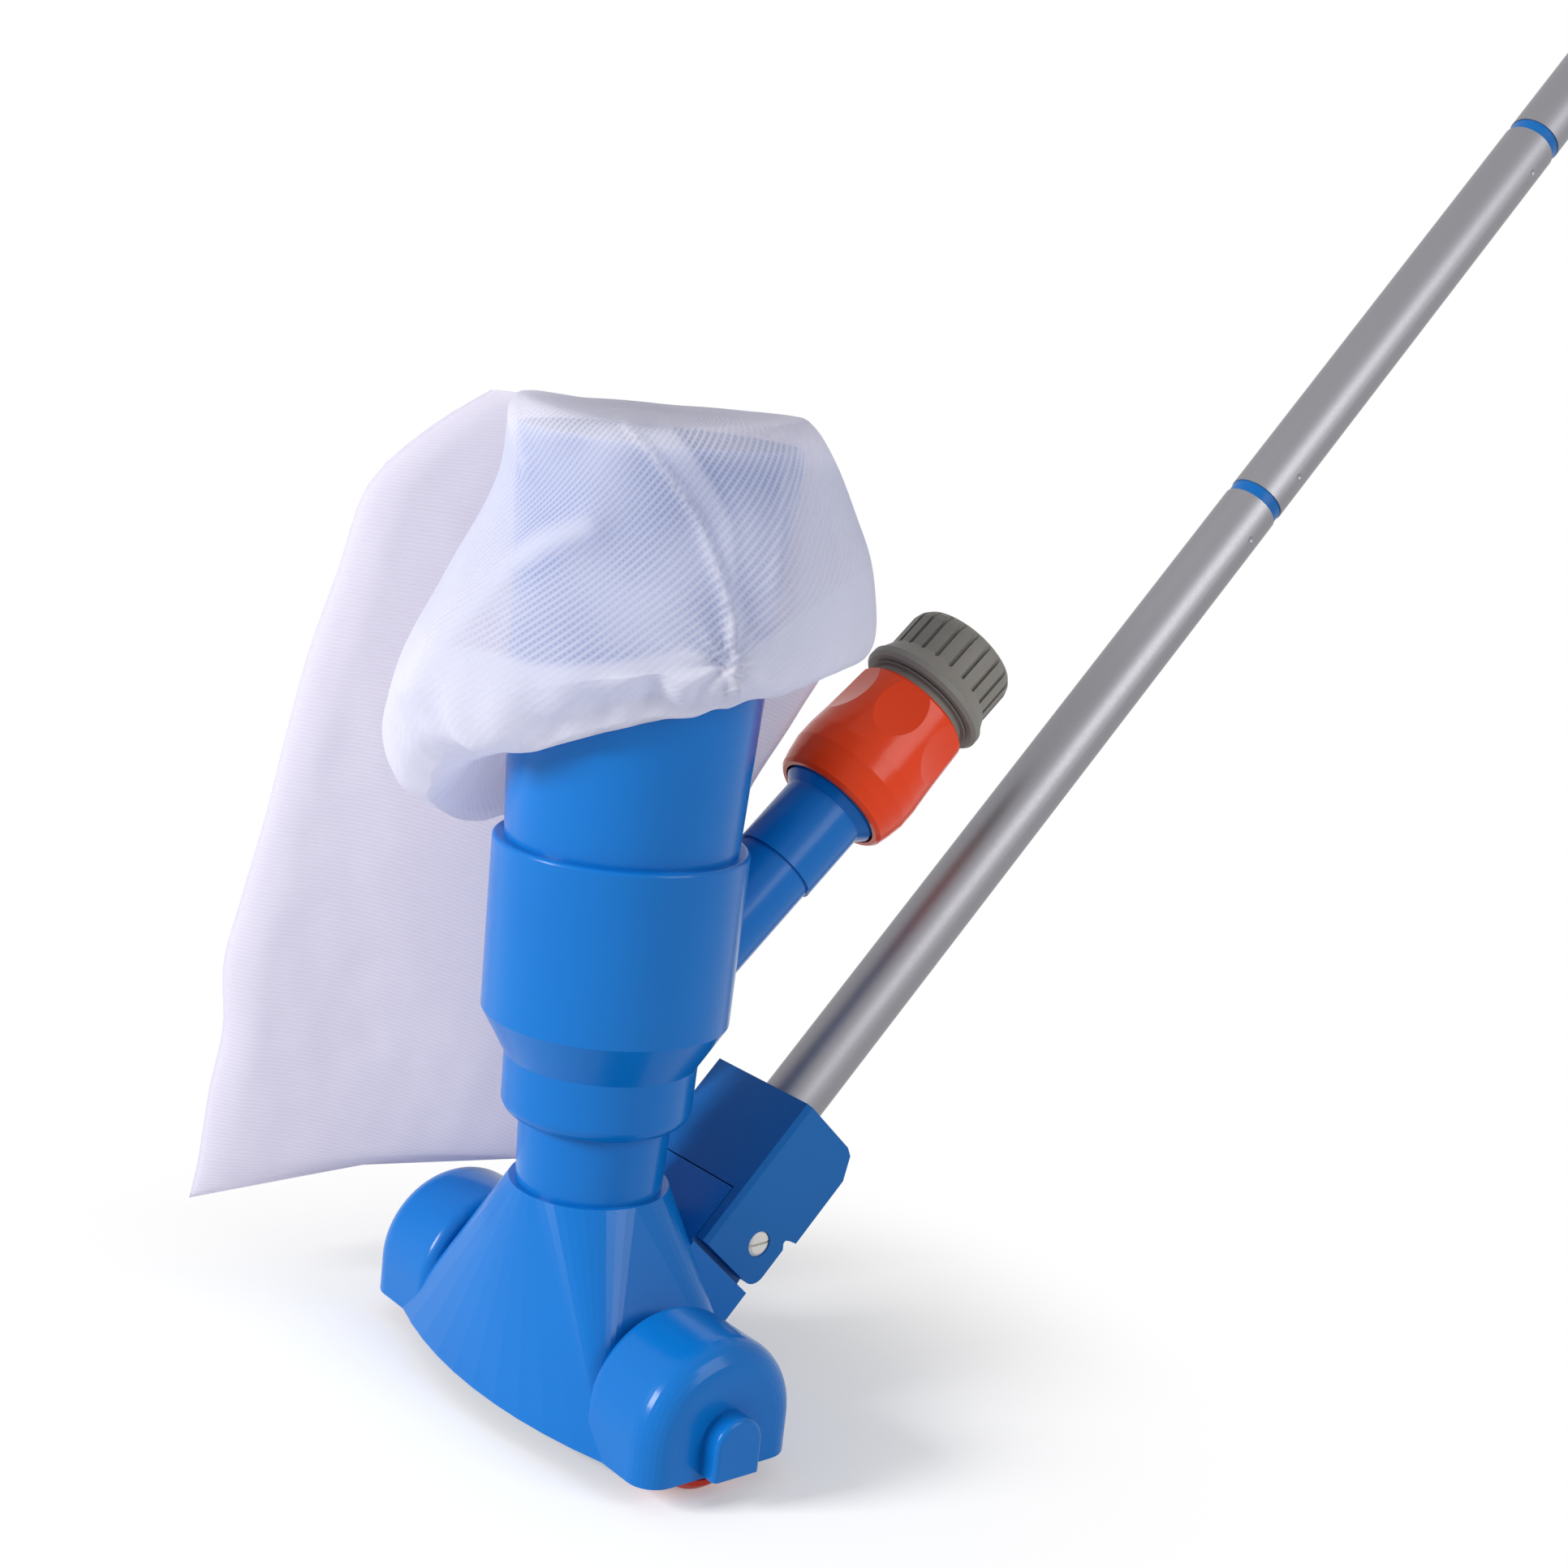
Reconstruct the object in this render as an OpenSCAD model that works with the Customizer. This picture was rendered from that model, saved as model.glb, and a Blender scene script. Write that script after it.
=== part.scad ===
// Manual vacuum head for pools and spas: suction head on wheels, hose-fed jet body, leaf bag and
// sectional pole. Millimetres. The origin is the centre of the suction mouth's rim, +Z runs up the
// body, +X points to the rear, where the pole and the hose branch are, and Y runs along the head.

/* [Suction head] */
// Height of the head from the mouth's rim to its collar
head_h = 57; // [50:1:66]
// Half of the mouth's width at its middle
mouth_half_w = 33.5; // [30:0.5:38]
// Half of the mouth's width where it runs into the wheel housings
mouth_end_half_w = 25; // [22:0.5:28]
// Distance from the middle to where the mouth's outline ends
mouth_half_l = 53; // [50:0.5:56]
// Wall of the head
head_wall = 2.6; // [2:0.1:3.4]
// Depth of the socket that the suction tube sits in
head_socket_depth = 12; // [8:0.5:16]

/* [Wheel housings and wheels] */
// Distance from the middle to a housing's outer face
housing_face_y = 71.5; // [69:0.5:74]
// Distance from the middle to a housing's inner face
housing_inner_y = 41; // [39:0.5:44]
// Radius of a housing's rounded top
housing_r = 25.3; // [24:0.1:27]
// Height of the centre of a housing's rounded top
housing_z = 10.7; // [9:0.1:12]
// Rounding of a housing's outer edge
housing_edge_r = 8; // [4:0.5:8]
// Rounding of a housing's inner edge
housing_inner_edge_r = 4; // [1:0.5:5]
// Height of the wheel axles above the rim
axle_z = 10.5; // [10:0.5:12]
// Radius of a wheel
wheel_r = 18; // [16:0.5:19]
// Width of a wheel's tread
wheel_w = 12; // [8:0.5:13]
// Radius of an axle
axle_r = 2.5; // [2:0.1:3]
// Half of the width of an axle boss
boss_r = 7.7; // [7:0.1:10]
// How far an axle boss stands out of the housing
boss_out = 6.5; // [4:0.5:8]

/* [Suction tube and jet body] */
// Radius of the suction tube where it leaves the head
neck_low_r = 20.9; // [20:0.1:21.4]
// Radius of the suction tube where it enters the jet body
neck_top_r = 21.8; // [21.5:0.1:22.4]
// Wall of the suction tube
neck_wall = 2.4; // [1.8:0.1:3]
// Length of the suction tube that shows between head and jet body
neck_show = 20; // [16:0.2:26]
// Radius of the jet body's lower socket
socket_r = 27.1; // [26:0.1:29]
// Length of the jet body's lower socket
socket_l = 17.5; // [14:0.1:20]
// Length of the cone between lower socket and collar
cone_l = 12.8; // [10:0.1:16]
// Radius of the collar at its lower end
collar_low_r = 34.9; // [34:0.1:38]
// Radius of the collar at its top
collar_top_r = 35.8; // [35:0.1:39]
// Length of the collar
collar_l = 49.3; // [44:0.1:56]
// Wall of the jet body
body_wall = 2.2; // [1.8:0.1:2.3]
// Number of jet nozzles
jets = 6; // [4:1:8]
// Bore radius of a jet nozzle
jet_r = 1.2; // [0.8:0.1:1.8]

/* [Outlet tube] */
// Outer radius of the outlet tube at the collar
outlet_low_r = 32.6; // [31:0.1:33]
// Outer radius of the outlet tube at its mouth
outlet_top_r = 38.5; // [36:0.1:42]
// Length of the outlet tube above the collar
outlet_l = 111.4; // [90:0.1:130]
// Wall of the outlet tube
outlet_wall = 2; // [1.5:0.1:2.6]
// Depth of the outlet tube in the collar
outlet_seat = 20; // [14:1:24]

/* [Hose branch] */
// Height of the point where the branch's axis meets the body's axis
branch_z = 92; // [88:0.5:98]
// Angle between the branch and the body
branch_lean = 46.5; // [42:0.5:50]
// Outer radius of the branch
branch_r = 12.25; // [11:0.05:12.6]
// Distance along the branch to its end face
branch_end = 77; // [74:0.5:86]
// Bore radius of the branch and its adapter
water_r = 6.5; // [5:0.1:6.6]
// Outer radius of the adapter
adapter_r = 13.05; // [12.8:0.05:13.4]
// Length of the adapter up to its flange, with the flare below it
adapter_l = 25.2; // [22:0.2:28]
// Radius of the adapter's flange
flange_r = 15.5; // [14.8:0.1:15.8]
// Thickness of the adapter's flange
flange_t = 2.8; // [2.4:0.1:4]
// Outer radius of the adapter's nipple
nipple_r = 8.6; // [8.4:0.1:9.2]
// Length of the nipple beyond the flange
nipple_l = 21; // [18:0.5:23]

/* [Quick connector] */
// Length of the release sleeve
sleeve_l = 39.7; // [37:0.1:42]
// How far the sleeve's lower end reaches over the adapter's flange
sleeve_over = 2.4; // [1.6:0.1:3]
// Radius of the sleeve's lower end
sleeve_low_r = 18.6; // [18.2:0.1:19.2]
// Radius of the sleeve at its thickest
sleeve_mid_r = 20.4; // [19.6:0.1:21]
// Radius of the sleeve's upper end
sleeve_top_r = 18.8; // [18.4:0.1:19.4]
// Wall of the sleeve
sleeve_wall = 2.3; // [2:0.1:2.8]
// Travel of the release sleeve towards the hose
sleeve_travel = 2.4; // [1.6:0.2:3]
// Number of grip scallops on the sleeve
scallops = 6; // [4:1:8]
// Radius of the hose nut's flange
nut_flange_r = 20.6; // [20:0.1:22]
// Radius of the hose nut over its ribs
nut_r = 18; // [17:0.1:18.6]
// Length of the hose nut with its flange
nut_l = 23; // [21:0.1:26]
// Number of ribs on the hose nut
nut_ribs = 22; // [16:1:28]
// Outer radius of the hose spigot
spigot_r = 6.4; // [5.8:0.1:6.6]

/* [Pole socket] */
// Where the pole's axis leaves the socket, towards the rear
pole_x = 74.6; // [73:0.1:78]
// Where the pole's axis leaves the socket, above the rim
pole_z = 70.8; // [69:0.1:74]
// Angle of the pole above level
pole_rise = 47; // [45:1:50]
// Half of the socket's width
block_half_w = 22.5; // [21:0.5:24]
// Socket's front face from the pole's axis
block_front = 15; // [14:0.1:16]
// Socket's rear face from the pole's axis
block_rear = 15.2; // [14:0.1:17]
// Ears' rear edge from the pole's axis
ear_rear = 12.4; // [11:0.1:13.4]
// Length of the solid part of the socket
block_l = 32; // [30:0.5:34]
// Thickness of an ear
ear_t = 4.6; // [3.5:0.1:5]
// Pivot pin's distance below the solid part of the socket
pin_drop = 7.3; // [7.1:0.1:8]
// Radius of the pivot pin
pin_r = 3.9; // [3:0.1:4.2]
// Radius of the tongue's rounding about the pin
pivot_round_r = 6.8; // [6.4:0.1:7]

/* [Pole] */
// Outer radius of the pole
pole_r = 9.5; // [9:0.1:10]
// Wall of the pole
pole_wall = 1; // [0.8:0.1:1.4]
// Visible length of the first section, from the socket to the first ring
section_1_l = 251.1; // [150:0.1:500]
// Length of each further section
section_l = 175.7; // [120:0.1:400]
// Length of a joining ring
ring_l = 4.3; // [3:0.1:8]
// Radius of a joining ring
ring_r = 9.1; // [8.8:0.1:9.4]

/* [Leaf bag] */
// Heading of the bag's flat rear side, about the body
bag_turn = -40.6; // [-60:0.2:-30]
// Thickness of the bag's front shell
bag_t = 1.2; // [1:0.1:1.5]
// Height of the bag's top above the outlet tube
bag_top_rise = 7; // [5:0.5:12]
// Height of the sack's lowest corner above the rim
sack_foot_z = 17; // [10:1:24]
// Thickness of the hanging sack
sack_t = 14; // [8:0.5:20]

/* [Fits] */
// Radial clearance of a part that turns or slides
run_gap = 0.08; // [0.05:0.01:0.15]
// Radial clearance of parts that are plugged together
plug_gap = 0.05; // [0.02:0.01:0.1]
// Clearance between faces that move past each other
face_gap = 0.4; // [0.2:0.05:0.6]
// Clearance between fabric and what it hangs on
cloth_gap = 0.3; // [0.25:0.05:0.5]

/* [Hidden] */
$fn = 64;

mid_blue = "#1F74C8";
dark_blue = "#17598F";
signal_orange = "#E2431E";
warm_grey = "#8E8A85";
rubber_black = "#22242A";
pole_silver = "#C4C5C9";
mesh_white = "#DCD9EA";
wheel_red = "#D8331A";

// Heights up the body
neck_top_z = head_h + neck_show;
cone_z = neck_top_z + socket_l;
collar_z = cone_z + cone_l;
collar_top_z = collar_z + collar_l;
outlet_base_z = collar_top_z - outlet_seat;
outlet_top_z = collar_top_z + outlet_l;
head_seat_z = head_h - head_socket_depth;
head_top_r = neck_low_r + 2;
neck_bore_r = neck_low_r - neck_wall;
neck_seat_depth = 10;
neck_inner_r = neck_low_r;
jet_ring_t = 5;
jet_ring_z = outlet_base_z - jet_ring_t;
chamber_r = collar_low_r - body_wall - 3;
jet_ring_r = chamber_r + 1.4;

// Outer radius of the outlet tube at height z
function outlet_r(z) = outlet_low_r + (outlet_top_r - outlet_low_r) * (z - collar_top_z) / outlet_l;

// The bag's flat rear side lies against the outlet tube's mouth
bag_flat = outlet_top_r + cloth_gap + bag_t;
bag_top_z = outlet_top_z + bag_top_rise;

// Stations along the branch
flange_s = branch_end + adapter_l;
nipple_s = flange_s + flange_t;
nipple_end_s = nipple_s + nipple_l;
sleeve_s = nipple_s - sleeve_over;
sleeve_end_s = sleeve_s + sleeve_l;
core_ring_s = sleeve_end_s + sleeve_travel + 0.3;
core_ring_t = 0.6;
core_step_s = core_ring_s + core_ring_t;
nut_s = core_step_s + face_gap;
nut_end_s = nut_s + nut_l;
core_r = sleeve_top_r - sleeve_wall - run_gap;
mouth_r = flange_r + 0.8;
thread_r = nut_r * 0.75;
land_end_s = nut_s + 12;
core_s = nipple_s + 3;
catch_s = nipple_s + 7;
catch_r = nipple_r - 1.2;
o_ring_r = 1.2;

// Stations along the pole, from the point where it leaves the socket
block_top_a = -4;
block_low_a = block_top_a - block_l;
pin_a = block_low_a - pin_drop;
pin_c = 3;
ear_low_a = pin_a - 10.7;
ear_round_r = 4.5;
ear_swing_r = norm([ear_rear - ear_round_r - pin_c, pin_a - ear_low_a - ear_round_r]) + ear_round_r;
shelf_a = pin_a - ear_swing_r - face_gap;
tube_floor_a = block_low_a + 4.4;
tube_1_a = tube_floor_a + 0.2;
ring_1_a = section_1_l;
tube_2_a = ring_1_a + ring_l;
ring_2_a = tube_2_a + section_l;
tube_3_a = ring_2_a + ring_l;
pole_end_a = tube_3_a + section_l;
pole_in_r = pole_r - pole_wall;
insert_l = 16;
stud_r = 5;
stud_l = 12;
tongue_half_w = block_half_w - ear_t - face_gap;

// ---------- placing ----------

module on_branch() {
    translate([0, 0, branch_z]) rotate([0, branch_lean, 0]) children();
}

module on_pole() {
    translate([pole_x, 0, pole_z]) rotate([0, 90 - pole_rise, 0]) children();
}

module across() {
    rotate([90, 0, 0]) children();
}

module in_bag_frame() {
    rotate([0, 0, bag_turn]) children();
}

module ring(r_out, r_in, h) {
    difference() {
        cylinder(r = r_out, h = h);
        translate([0, 0, -1]) cylinder(r = r_in, h = h + 2);
    }
}

module o_ring(r_mid, r_cord) {
    rotate_extrude() translate([r_mid, 0]) circle(r_cord, $fn = 20);
}

// ---------- suction head ----------

// The mouth's outline: two shallow arcs that meet the wheel housings
module mouth_outline(inset, half_l) {
    steps = 10;
    bulge = mouth_half_w - mouth_end_half_w;
    arc_r = (mouth_half_l * mouth_half_l + bulge * bulge) / (2 * bulge);
    side = [for (i = [0 : steps]) let (y = half_l * (2 * i / steps - 1))
        [sqrt(arc_r * arc_r - y * y) - arc_r + mouth_half_w - inset, y]];
    polygon(concat(side, [for (i = [steps : -1 : 0]) [-side[i][0], side[i][1]]]));
}

module funnel(inset, half_l, base_z, top_z, top_r) {
    slice = 0.5;
    hull() {
        translate([0, 0, base_z]) linear_extrude(slice) mouth_outline(inset, half_l);
        translate([0, 0, top_z - slice]) cylinder(r = top_r, h = slice, $fn = 48);
    }
}

// Outline of a housing across its width, from its centre plane out to radius r
module housing_section(r, w, outer_r, inner_r) {
    arc = 8;
    polygon(concat(
        [[0, 0]],
        [for (i = [0 : arc]) let (t = 90 * i / arc)
            [r - inner_r + inner_r * sin(t), inner_r - inner_r * cos(t)]],
        [for (i = [0 : arc]) let (t = 90 * i / arc)
            [r - outer_r + outer_r * cos(t), w - outer_r + outer_r * sin(t)]],
        [[0, w]]));
}

// Half-round top on straight skirts that reach h below its centre, w long towards +Y
module arch(r, w, outer_r, inner_r, h) {
    rotate([-90, 0, 0]) rotate([0, 0, 180]) rotate_extrude(angle = 180)
        housing_section(r, w, outer_r, inner_r);
    translate([0, 0, -h]) linear_extrude(h) {
        housing_section(r, w, outer_r, inner_r);
        mirror([1, 0]) housing_section(r, w, outer_r, inner_r);
    }
}

// A wheel housing on the +Y side
module housing() {
    translate([0, housing_inner_y, housing_z]) arch(housing_r, housing_face_y - housing_inner_y,
        housing_edge_r, housing_inner_edge_r, housing_z);
}

// Boss that carries an axle's outer end
module axle_boss() {
    root = 3;
    foot_z = 1.8;
    edge_r = 1.5;
    translate([0, housing_face_y - root, housing_z])
        arch(boss_r, boss_out + root, edge_r, 0.5, housing_z - foot_z);
}

// Room for a wheel, its axle's two seats and the slot that the axle snaps up through
wheel_gap_y = 1.5;
well_half_w = wheel_w / 2 + wheel_gap_y;
wheel_y = housing_face_y - 4 - well_half_w;
mouth_inner_half_l = wheel_y - well_half_w - head_wall;
seat_web = 0.9;
axle_in_y = mouth_inner_half_l + seat_web;
axle_out_y = housing_face_y + boss_out - 2.5;

module wheel_well() {
    well_r = housing_r - head_wall - 1.2;
    snap_w = 2 * axle_r - 0.5;
    axle_l = axle_out_y - axle_in_y;
    translate([0, wheel_y + well_half_w, housing_z]) across() {
        cylinder(r = well_r, h = 2 * well_half_w);
        translate([-well_r, -housing_z - 1, 0])
            cube([2 * well_r, housing_z + 1, 2 * well_half_w]);
    }
    translate([0, axle_out_y + plug_gap, axle_z]) across() {
        cylinder(r = axle_r + plug_gap, h = axle_l + 2 * plug_gap, $fn = 32);
        translate([-snap_w / 2, -axle_z - 1, 0])
            cube([snap_w, axle_z + 1, axle_l + 2 * plug_gap]);
    }
}

module both_sides() {
    children();
    mirror([0, 1, 0]) children();
}

// Tongue that the pole socket straddles, on a base that grows out of the head's rear wall
module bracket() {
    base_rear = pin_c + 8;
    on_pole() {
        across() translate([0, 0, -tongue_half_w]) linear_extrude(2 * tongue_half_w) {
            translate([pin_c, pin_a]) circle(pivot_round_r - 0.4);
            polygon([[-block_front, block_low_a - face_gap], [pin_c, block_low_a - face_gap],
                [pin_c, pin_a], [pin_c + pivot_round_r - 0.4, pin_a],
                [base_rear, shelf_a - 1], [-block_front, shelf_a - 1]]);
        }
        across() translate([0, 0, -block_half_w]) linear_extrude(2 * block_half_w)
            polygon([[-block_front - 4, shelf_a], [base_rear, shelf_a],
                [base_rear, shelf_a - 20], [-block_front - 4, shelf_a - 20]]);
    }
}

module head_shell() {
    color(mid_blue) difference() {
        union() {
            funnel(0, mouth_half_l, 0, head_h, head_top_r);
            both_sides() {
                housing();
                axle_boss();
            }
            intersection() {
                bracket();
                translate([10, -block_half_w, 0]) cube([80, 2 * block_half_w, 80]);
            }
        }
        funnel(head_wall, mouth_inner_half_l, -0.5, head_seat_z, neck_bore_r);
        translate([0, 0, head_seat_z - 1]) cylinder(r = neck_bore_r, h = 10);
        translate([0, 0, head_seat_z])
            cylinder(r = neck_low_r + plug_gap, h = head_socket_depth + 1);
        both_sides() wheel_well();
        on_pole() translate([pin_c, 0, pin_a]) across()
            cylinder(r = pin_r + run_gap, h = 4 * tongue_half_w, center = true);
    }
}

module wheel() {
    tread_edge = 1.5;
    rim_t = 3;
    hub_r = 6;
    spokes = 5;
    half_w = wheel_w / 2;
    translate([0, 0, axle_z]) across() difference() {
        union() {
            rotate_extrude() polygon([[wheel_r - rim_t, -half_w], [wheel_r - tread_edge, -half_w],
                [wheel_r, tread_edge - half_w], [wheel_r, half_w - tread_edge],
                [wheel_r - tread_edge, half_w], [wheel_r - rim_t, half_w]]);
            cylinder(r = wheel_r - rim_t + 0.5, h = 2.4, center = true);
            cylinder(r = hub_r, h = 2 * well_half_w - 2 * face_gap, center = true);
            for (i = [1 : spokes]) rotate([0, 0, 360 * i / spokes])
                translate([hub_r / 2, -1, -half_w + 1])
                    cube([wheel_r - rim_t - hub_r / 2 + 0.5, 2, wheel_w - 2]);
        }
        cylinder(r = axle_r + run_gap, h = 3 * wheel_w, center = true, $fn = 32);
    }
}

module wheel_left() {
    color(wheel_red) translate([0, -wheel_y, 0]) wheel();
}

module wheel_right() {
    color(wheel_red) translate([0, wheel_y, 0]) wheel();
}

module axle() {
    end = 0.6;
    l = axle_out_y - axle_in_y;
    translate([0, axle_out_y, axle_z]) across() rotate_extrude($fn = 32)
        polygon([[0, 0], [axle_r - end, 0], [axle_r, end], [axle_r, l - end],
            [axle_r - end, l], [0, l]]);
}

module axle_left() {
    color(pole_silver) mirror([0, 1, 0]) axle();
}

module axle_right() {
    color(pole_silver) axle();
}

// ---------- suction tube, jet body and outlet ----------

groove_r = neck_top_r - 1.7;
groove_z = neck_top_z + 5;

// Neck between head and jet body; its upper length is the inner wall of the jet chamber
module suction_tube() {
    top_z = jet_ring_z + jet_ring_t;
    color(mid_blue) rotate_extrude() polygon([
        [neck_bore_r, head_seat_z], [neck_low_r, head_seat_z], [neck_low_r, head_h],
        [neck_top_r, neck_top_z], [neck_top_r, groove_z - o_ring_r], [groove_r, groove_z - o_ring_r],
        [groove_r, groove_z + o_ring_r], [neck_top_r, groove_z + o_ring_r],
        [neck_top_r, neck_top_z + neck_seat_depth], [neck_inner_r, neck_top_z + neck_seat_depth],
        [neck_inner_r, top_z], [neck_bore_r, top_z]]);
}

module neck_o_ring() {
    seal_r = (groove_r + neck_top_r + plug_gap) / 2;
    color(rubber_black) translate([0, 0, groove_z])
        o_ring(seal_r, (neck_top_r + plug_gap - groove_r) / 2 - 0.02);
}

// Outside of the body with rounded lower edge and lip, closed down to the axis
module jet_body_outside() {
    foot_r = 4.5;
    lip_r = 1.2;
    arc = 8;
    rotate_extrude() polygon(concat(
        [[0, neck_top_z]],
        [for (i = [0 : arc]) let (t = 90 * i / arc)
            [socket_r - foot_r + foot_r * sin(t), neck_top_z + foot_r - foot_r * cos(t)]],
        [[socket_r + 0.3, cone_z], [collar_low_r, collar_z]],
        [for (i = [0 : arc]) let (t = 90 * i / arc)
            [collar_top_r - lip_r + lip_r * cos(t), collar_top_z - lip_r + lip_r * sin(t)]],
        [[0, collar_top_z]]));
}

module jet_body() {
    chamber_z = cone_z + 6;
    color(mid_blue) difference() {
        union() {
            jet_body_outside();
            on_branch() cylinder(r = branch_r, h = branch_end);
        }
        translate([0, 0, neck_top_z - 1])
            cylinder(r = neck_top_r + plug_gap, h = neck_seat_depth + 1);
        translate([0, 0, neck_top_z]) cylinder(r = neck_inner_r + plug_gap, h = collar_l + 40);
        translate([0, 0, chamber_z])
            cylinder(r1 = neck_inner_r + 3, r2 = chamber_r, h = collar_z - chamber_z);
        translate([0, 0, collar_z - 0.01]) cylinder(r = chamber_r, h = jet_ring_z - collar_z + 0.01);
        translate([0, 0, jet_ring_z])
            cylinder(r = jet_ring_r + plug_gap, h = jet_ring_t + 1);
        translate([0, 0, outlet_base_z])
            cylinder(r = outlet_low_r + plug_gap, h = outlet_seat + 1);
        on_branch() difference() {
            cylinder(r = water_r, h = branch_end + 1);
            cylinder(r = water_r + 1, h = (neck_inner_r + 2) / sin(branch_lean));
        }
    }
}

// Plate that closes the jet chamber, with slanted nozzles round the suction tube
module jet_ring() {
    r_mid = (jet_ring_r + neck_inner_r) / 2;
    color(warm_grey) translate([0, 0, jet_ring_z]) difference() {
        union() {
            ring(jet_ring_r, neck_inner_r + plug_gap, jet_ring_t);
            for (i = [1 : jets]) rotate([0, 0, 360 * i / jets]) translate([r_mid, 0, 0])
                cylinder(r1 = jet_r + 2.2, r2 = jet_r + 1, h = jet_ring_t + 5, $fn = 24);
        }
        for (i = [1 : jets]) rotate([0, 0, 360 * i / jets]) translate([r_mid, 0, -1])
            cylinder(r = jet_r, h = jet_ring_t + 7, $fn = 24);
    }
}

outlet_groove_z = collar_top_z - 8;
outlet_groove_r = outlet_low_r - 1.3;

// Flared tube that the leaf bag is pulled over, with two small lugs under its rim
module outlet_tube() {
    rim = 0.6;
    lug_w = 5;
    lug_l = 9;
    lug_out = 1.6;
    lug_turn = -60;
    lug_drop = 3;
    color(mid_blue) {
        rotate_extrude() polygon([
            [outlet_low_r - outlet_wall, outlet_base_z], [outlet_low_r, outlet_base_z],
            [outlet_low_r, outlet_groove_z - 1], [outlet_groove_r, outlet_groove_z - 1],
            [outlet_groove_r, outlet_groove_z + 1], [outlet_low_r, outlet_groove_z + 1],
            [outlet_low_r, collar_top_z], [outlet_top_r, outlet_top_z - rim],
            [outlet_top_r - rim, outlet_top_z], [outlet_top_r - outlet_wall, outlet_top_z],
            [outlet_low_r - outlet_wall, collar_top_z]]);
        for (side = [0, 180]) rotate([0, 0, lug_turn + side])
            translate([outlet_top_r - outlet_wall, -lug_w / 2, outlet_top_z - lug_drop - lug_l])
                cube([outlet_wall + lug_out - 0.4, lug_w, lug_l]);
    }
}

module outlet_o_ring() {
    depth = outlet_low_r + plug_gap - outlet_groove_r;
    color(rubber_black) translate([0, 0, outlet_groove_z])
        o_ring(outlet_groove_r + depth / 2, depth / 2 - 0.02);
}

// ---------- hose adapter and quick connector ----------

nipple_groove_s = nipple_s + 15;
nipple_groove_r = nipple_r - 1.6;
washer_t = 2;

module adapter_washer() {
    color(rubber_black) on_branch() translate([0, 0, branch_end])
        ring(branch_r - 1.2, water_r, washer_t);
}

module hose_adapter() {
    flare_l = flange_r - adapter_r;
    color(mid_blue) on_branch() difference() {
        rotate_extrude() polygon([
            [water_r, branch_end], [adapter_r, branch_end], [adapter_r, flange_s - flare_l],
            [flange_r, flange_s], [flange_r, nipple_s - 0.5], [flange_r - 0.5, nipple_s],
            [nipple_r, nipple_s],
            [nipple_r, catch_s - 2], [catch_r, catch_s - 1], [catch_r, catch_s + 1.6],
            [nipple_r, catch_s + 1.6], [nipple_r, nipple_groove_s - o_ring_r],
            [nipple_groove_r, nipple_groove_s - o_ring_r],
            [nipple_groove_r, nipple_groove_s + o_ring_r],
            [nipple_r, nipple_groove_s + o_ring_r], [nipple_r, nipple_end_s - 1],
            [nipple_r - 1, nipple_end_s], [water_r - 1, nipple_end_s], [water_r - 1, nipple_s]]);
        translate([0, 0, branch_end - 1]) cylinder(r = branch_r - 1.2 + plug_gap, h = washer_t + 1);
    }
}

module nipple_o_ring() {
    depth = nipple_r + run_gap - nipple_groove_r;
    color(rubber_black) on_branch() translate([0, 0, nipple_groove_s])
        o_ring(nipple_groove_r + depth / 2, depth / 2 - 0.03);
}

// Body of the connector: sleeve guide, seat for the nipple, thread land and hose spigot
module connector_core() {
    seat_r = nipple_r + run_gap;
    spigot_end_s = nut_end_s - 1.5;
    window_s = nipple_s + 6;
    color(warm_grey) on_branch() difference() {
        rotate_extrude() polygon([
            [seat_r, core_s], [core_r - 2.2, core_s], [core_r - 2.2, core_s + 6],
            [core_r, core_s + 8], [core_r, core_ring_s], [core_r + 1.2, core_ring_s],
            [core_r + 1.2, core_step_s], [thread_r, core_step_s], [thread_r, land_end_s],
            [spigot_r + 3.6, land_end_s], [spigot_r + 3.6, nut_s + 8], [spigot_r, nut_s + 8],
            [spigot_r, spigot_end_s - 0.6], [spigot_r - 0.6, spigot_end_s],
            [spigot_r - 1.8, spigot_end_s], [spigot_r - 1.8, nipple_end_s + face_gap],
            [seat_r, nipple_end_s + face_gap]]);
        for (i = [0 : 2]) rotate([0, 0, 120 * i]) translate([seat_r - 1, -2.6, window_s - 2])
            cube([core_r, 5.2, 6]);
    }
}

// One-piece claw ring: three claws through the core's windows, on a springy band
module claw_ring() {
    claw_in_r = catch_r + 0.25;
    band_in_r = core_r - 2.2 + plug_gap;
    band_r = core_r - 0.7;
    color("#E8E6E0") on_branch() {
        translate([0, 0, core_s + 0.2]) ring(band_r, band_in_r, 1.8);
        for (i = [0 : 2]) rotate([0, 0, 120 * i]) intersection() {
            translate([claw_in_r - 1, -2.3, core_s + 1.5])
                cube([band_r, 4.6, catch_s + 1.2 - core_s - 1.5]);
            difference() {
                translate([0, 0, core_s]) cylinder(r = band_r - 0.3, h = 20);
                translate([0, 0, core_s - 1]) cylinder(r = nipple_r + 0.3, h = catch_s - core_s);
                translate([0, 0, core_s - 1]) cylinder(r = claw_in_r, h = 22);
            }
        }
    }
}

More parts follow.
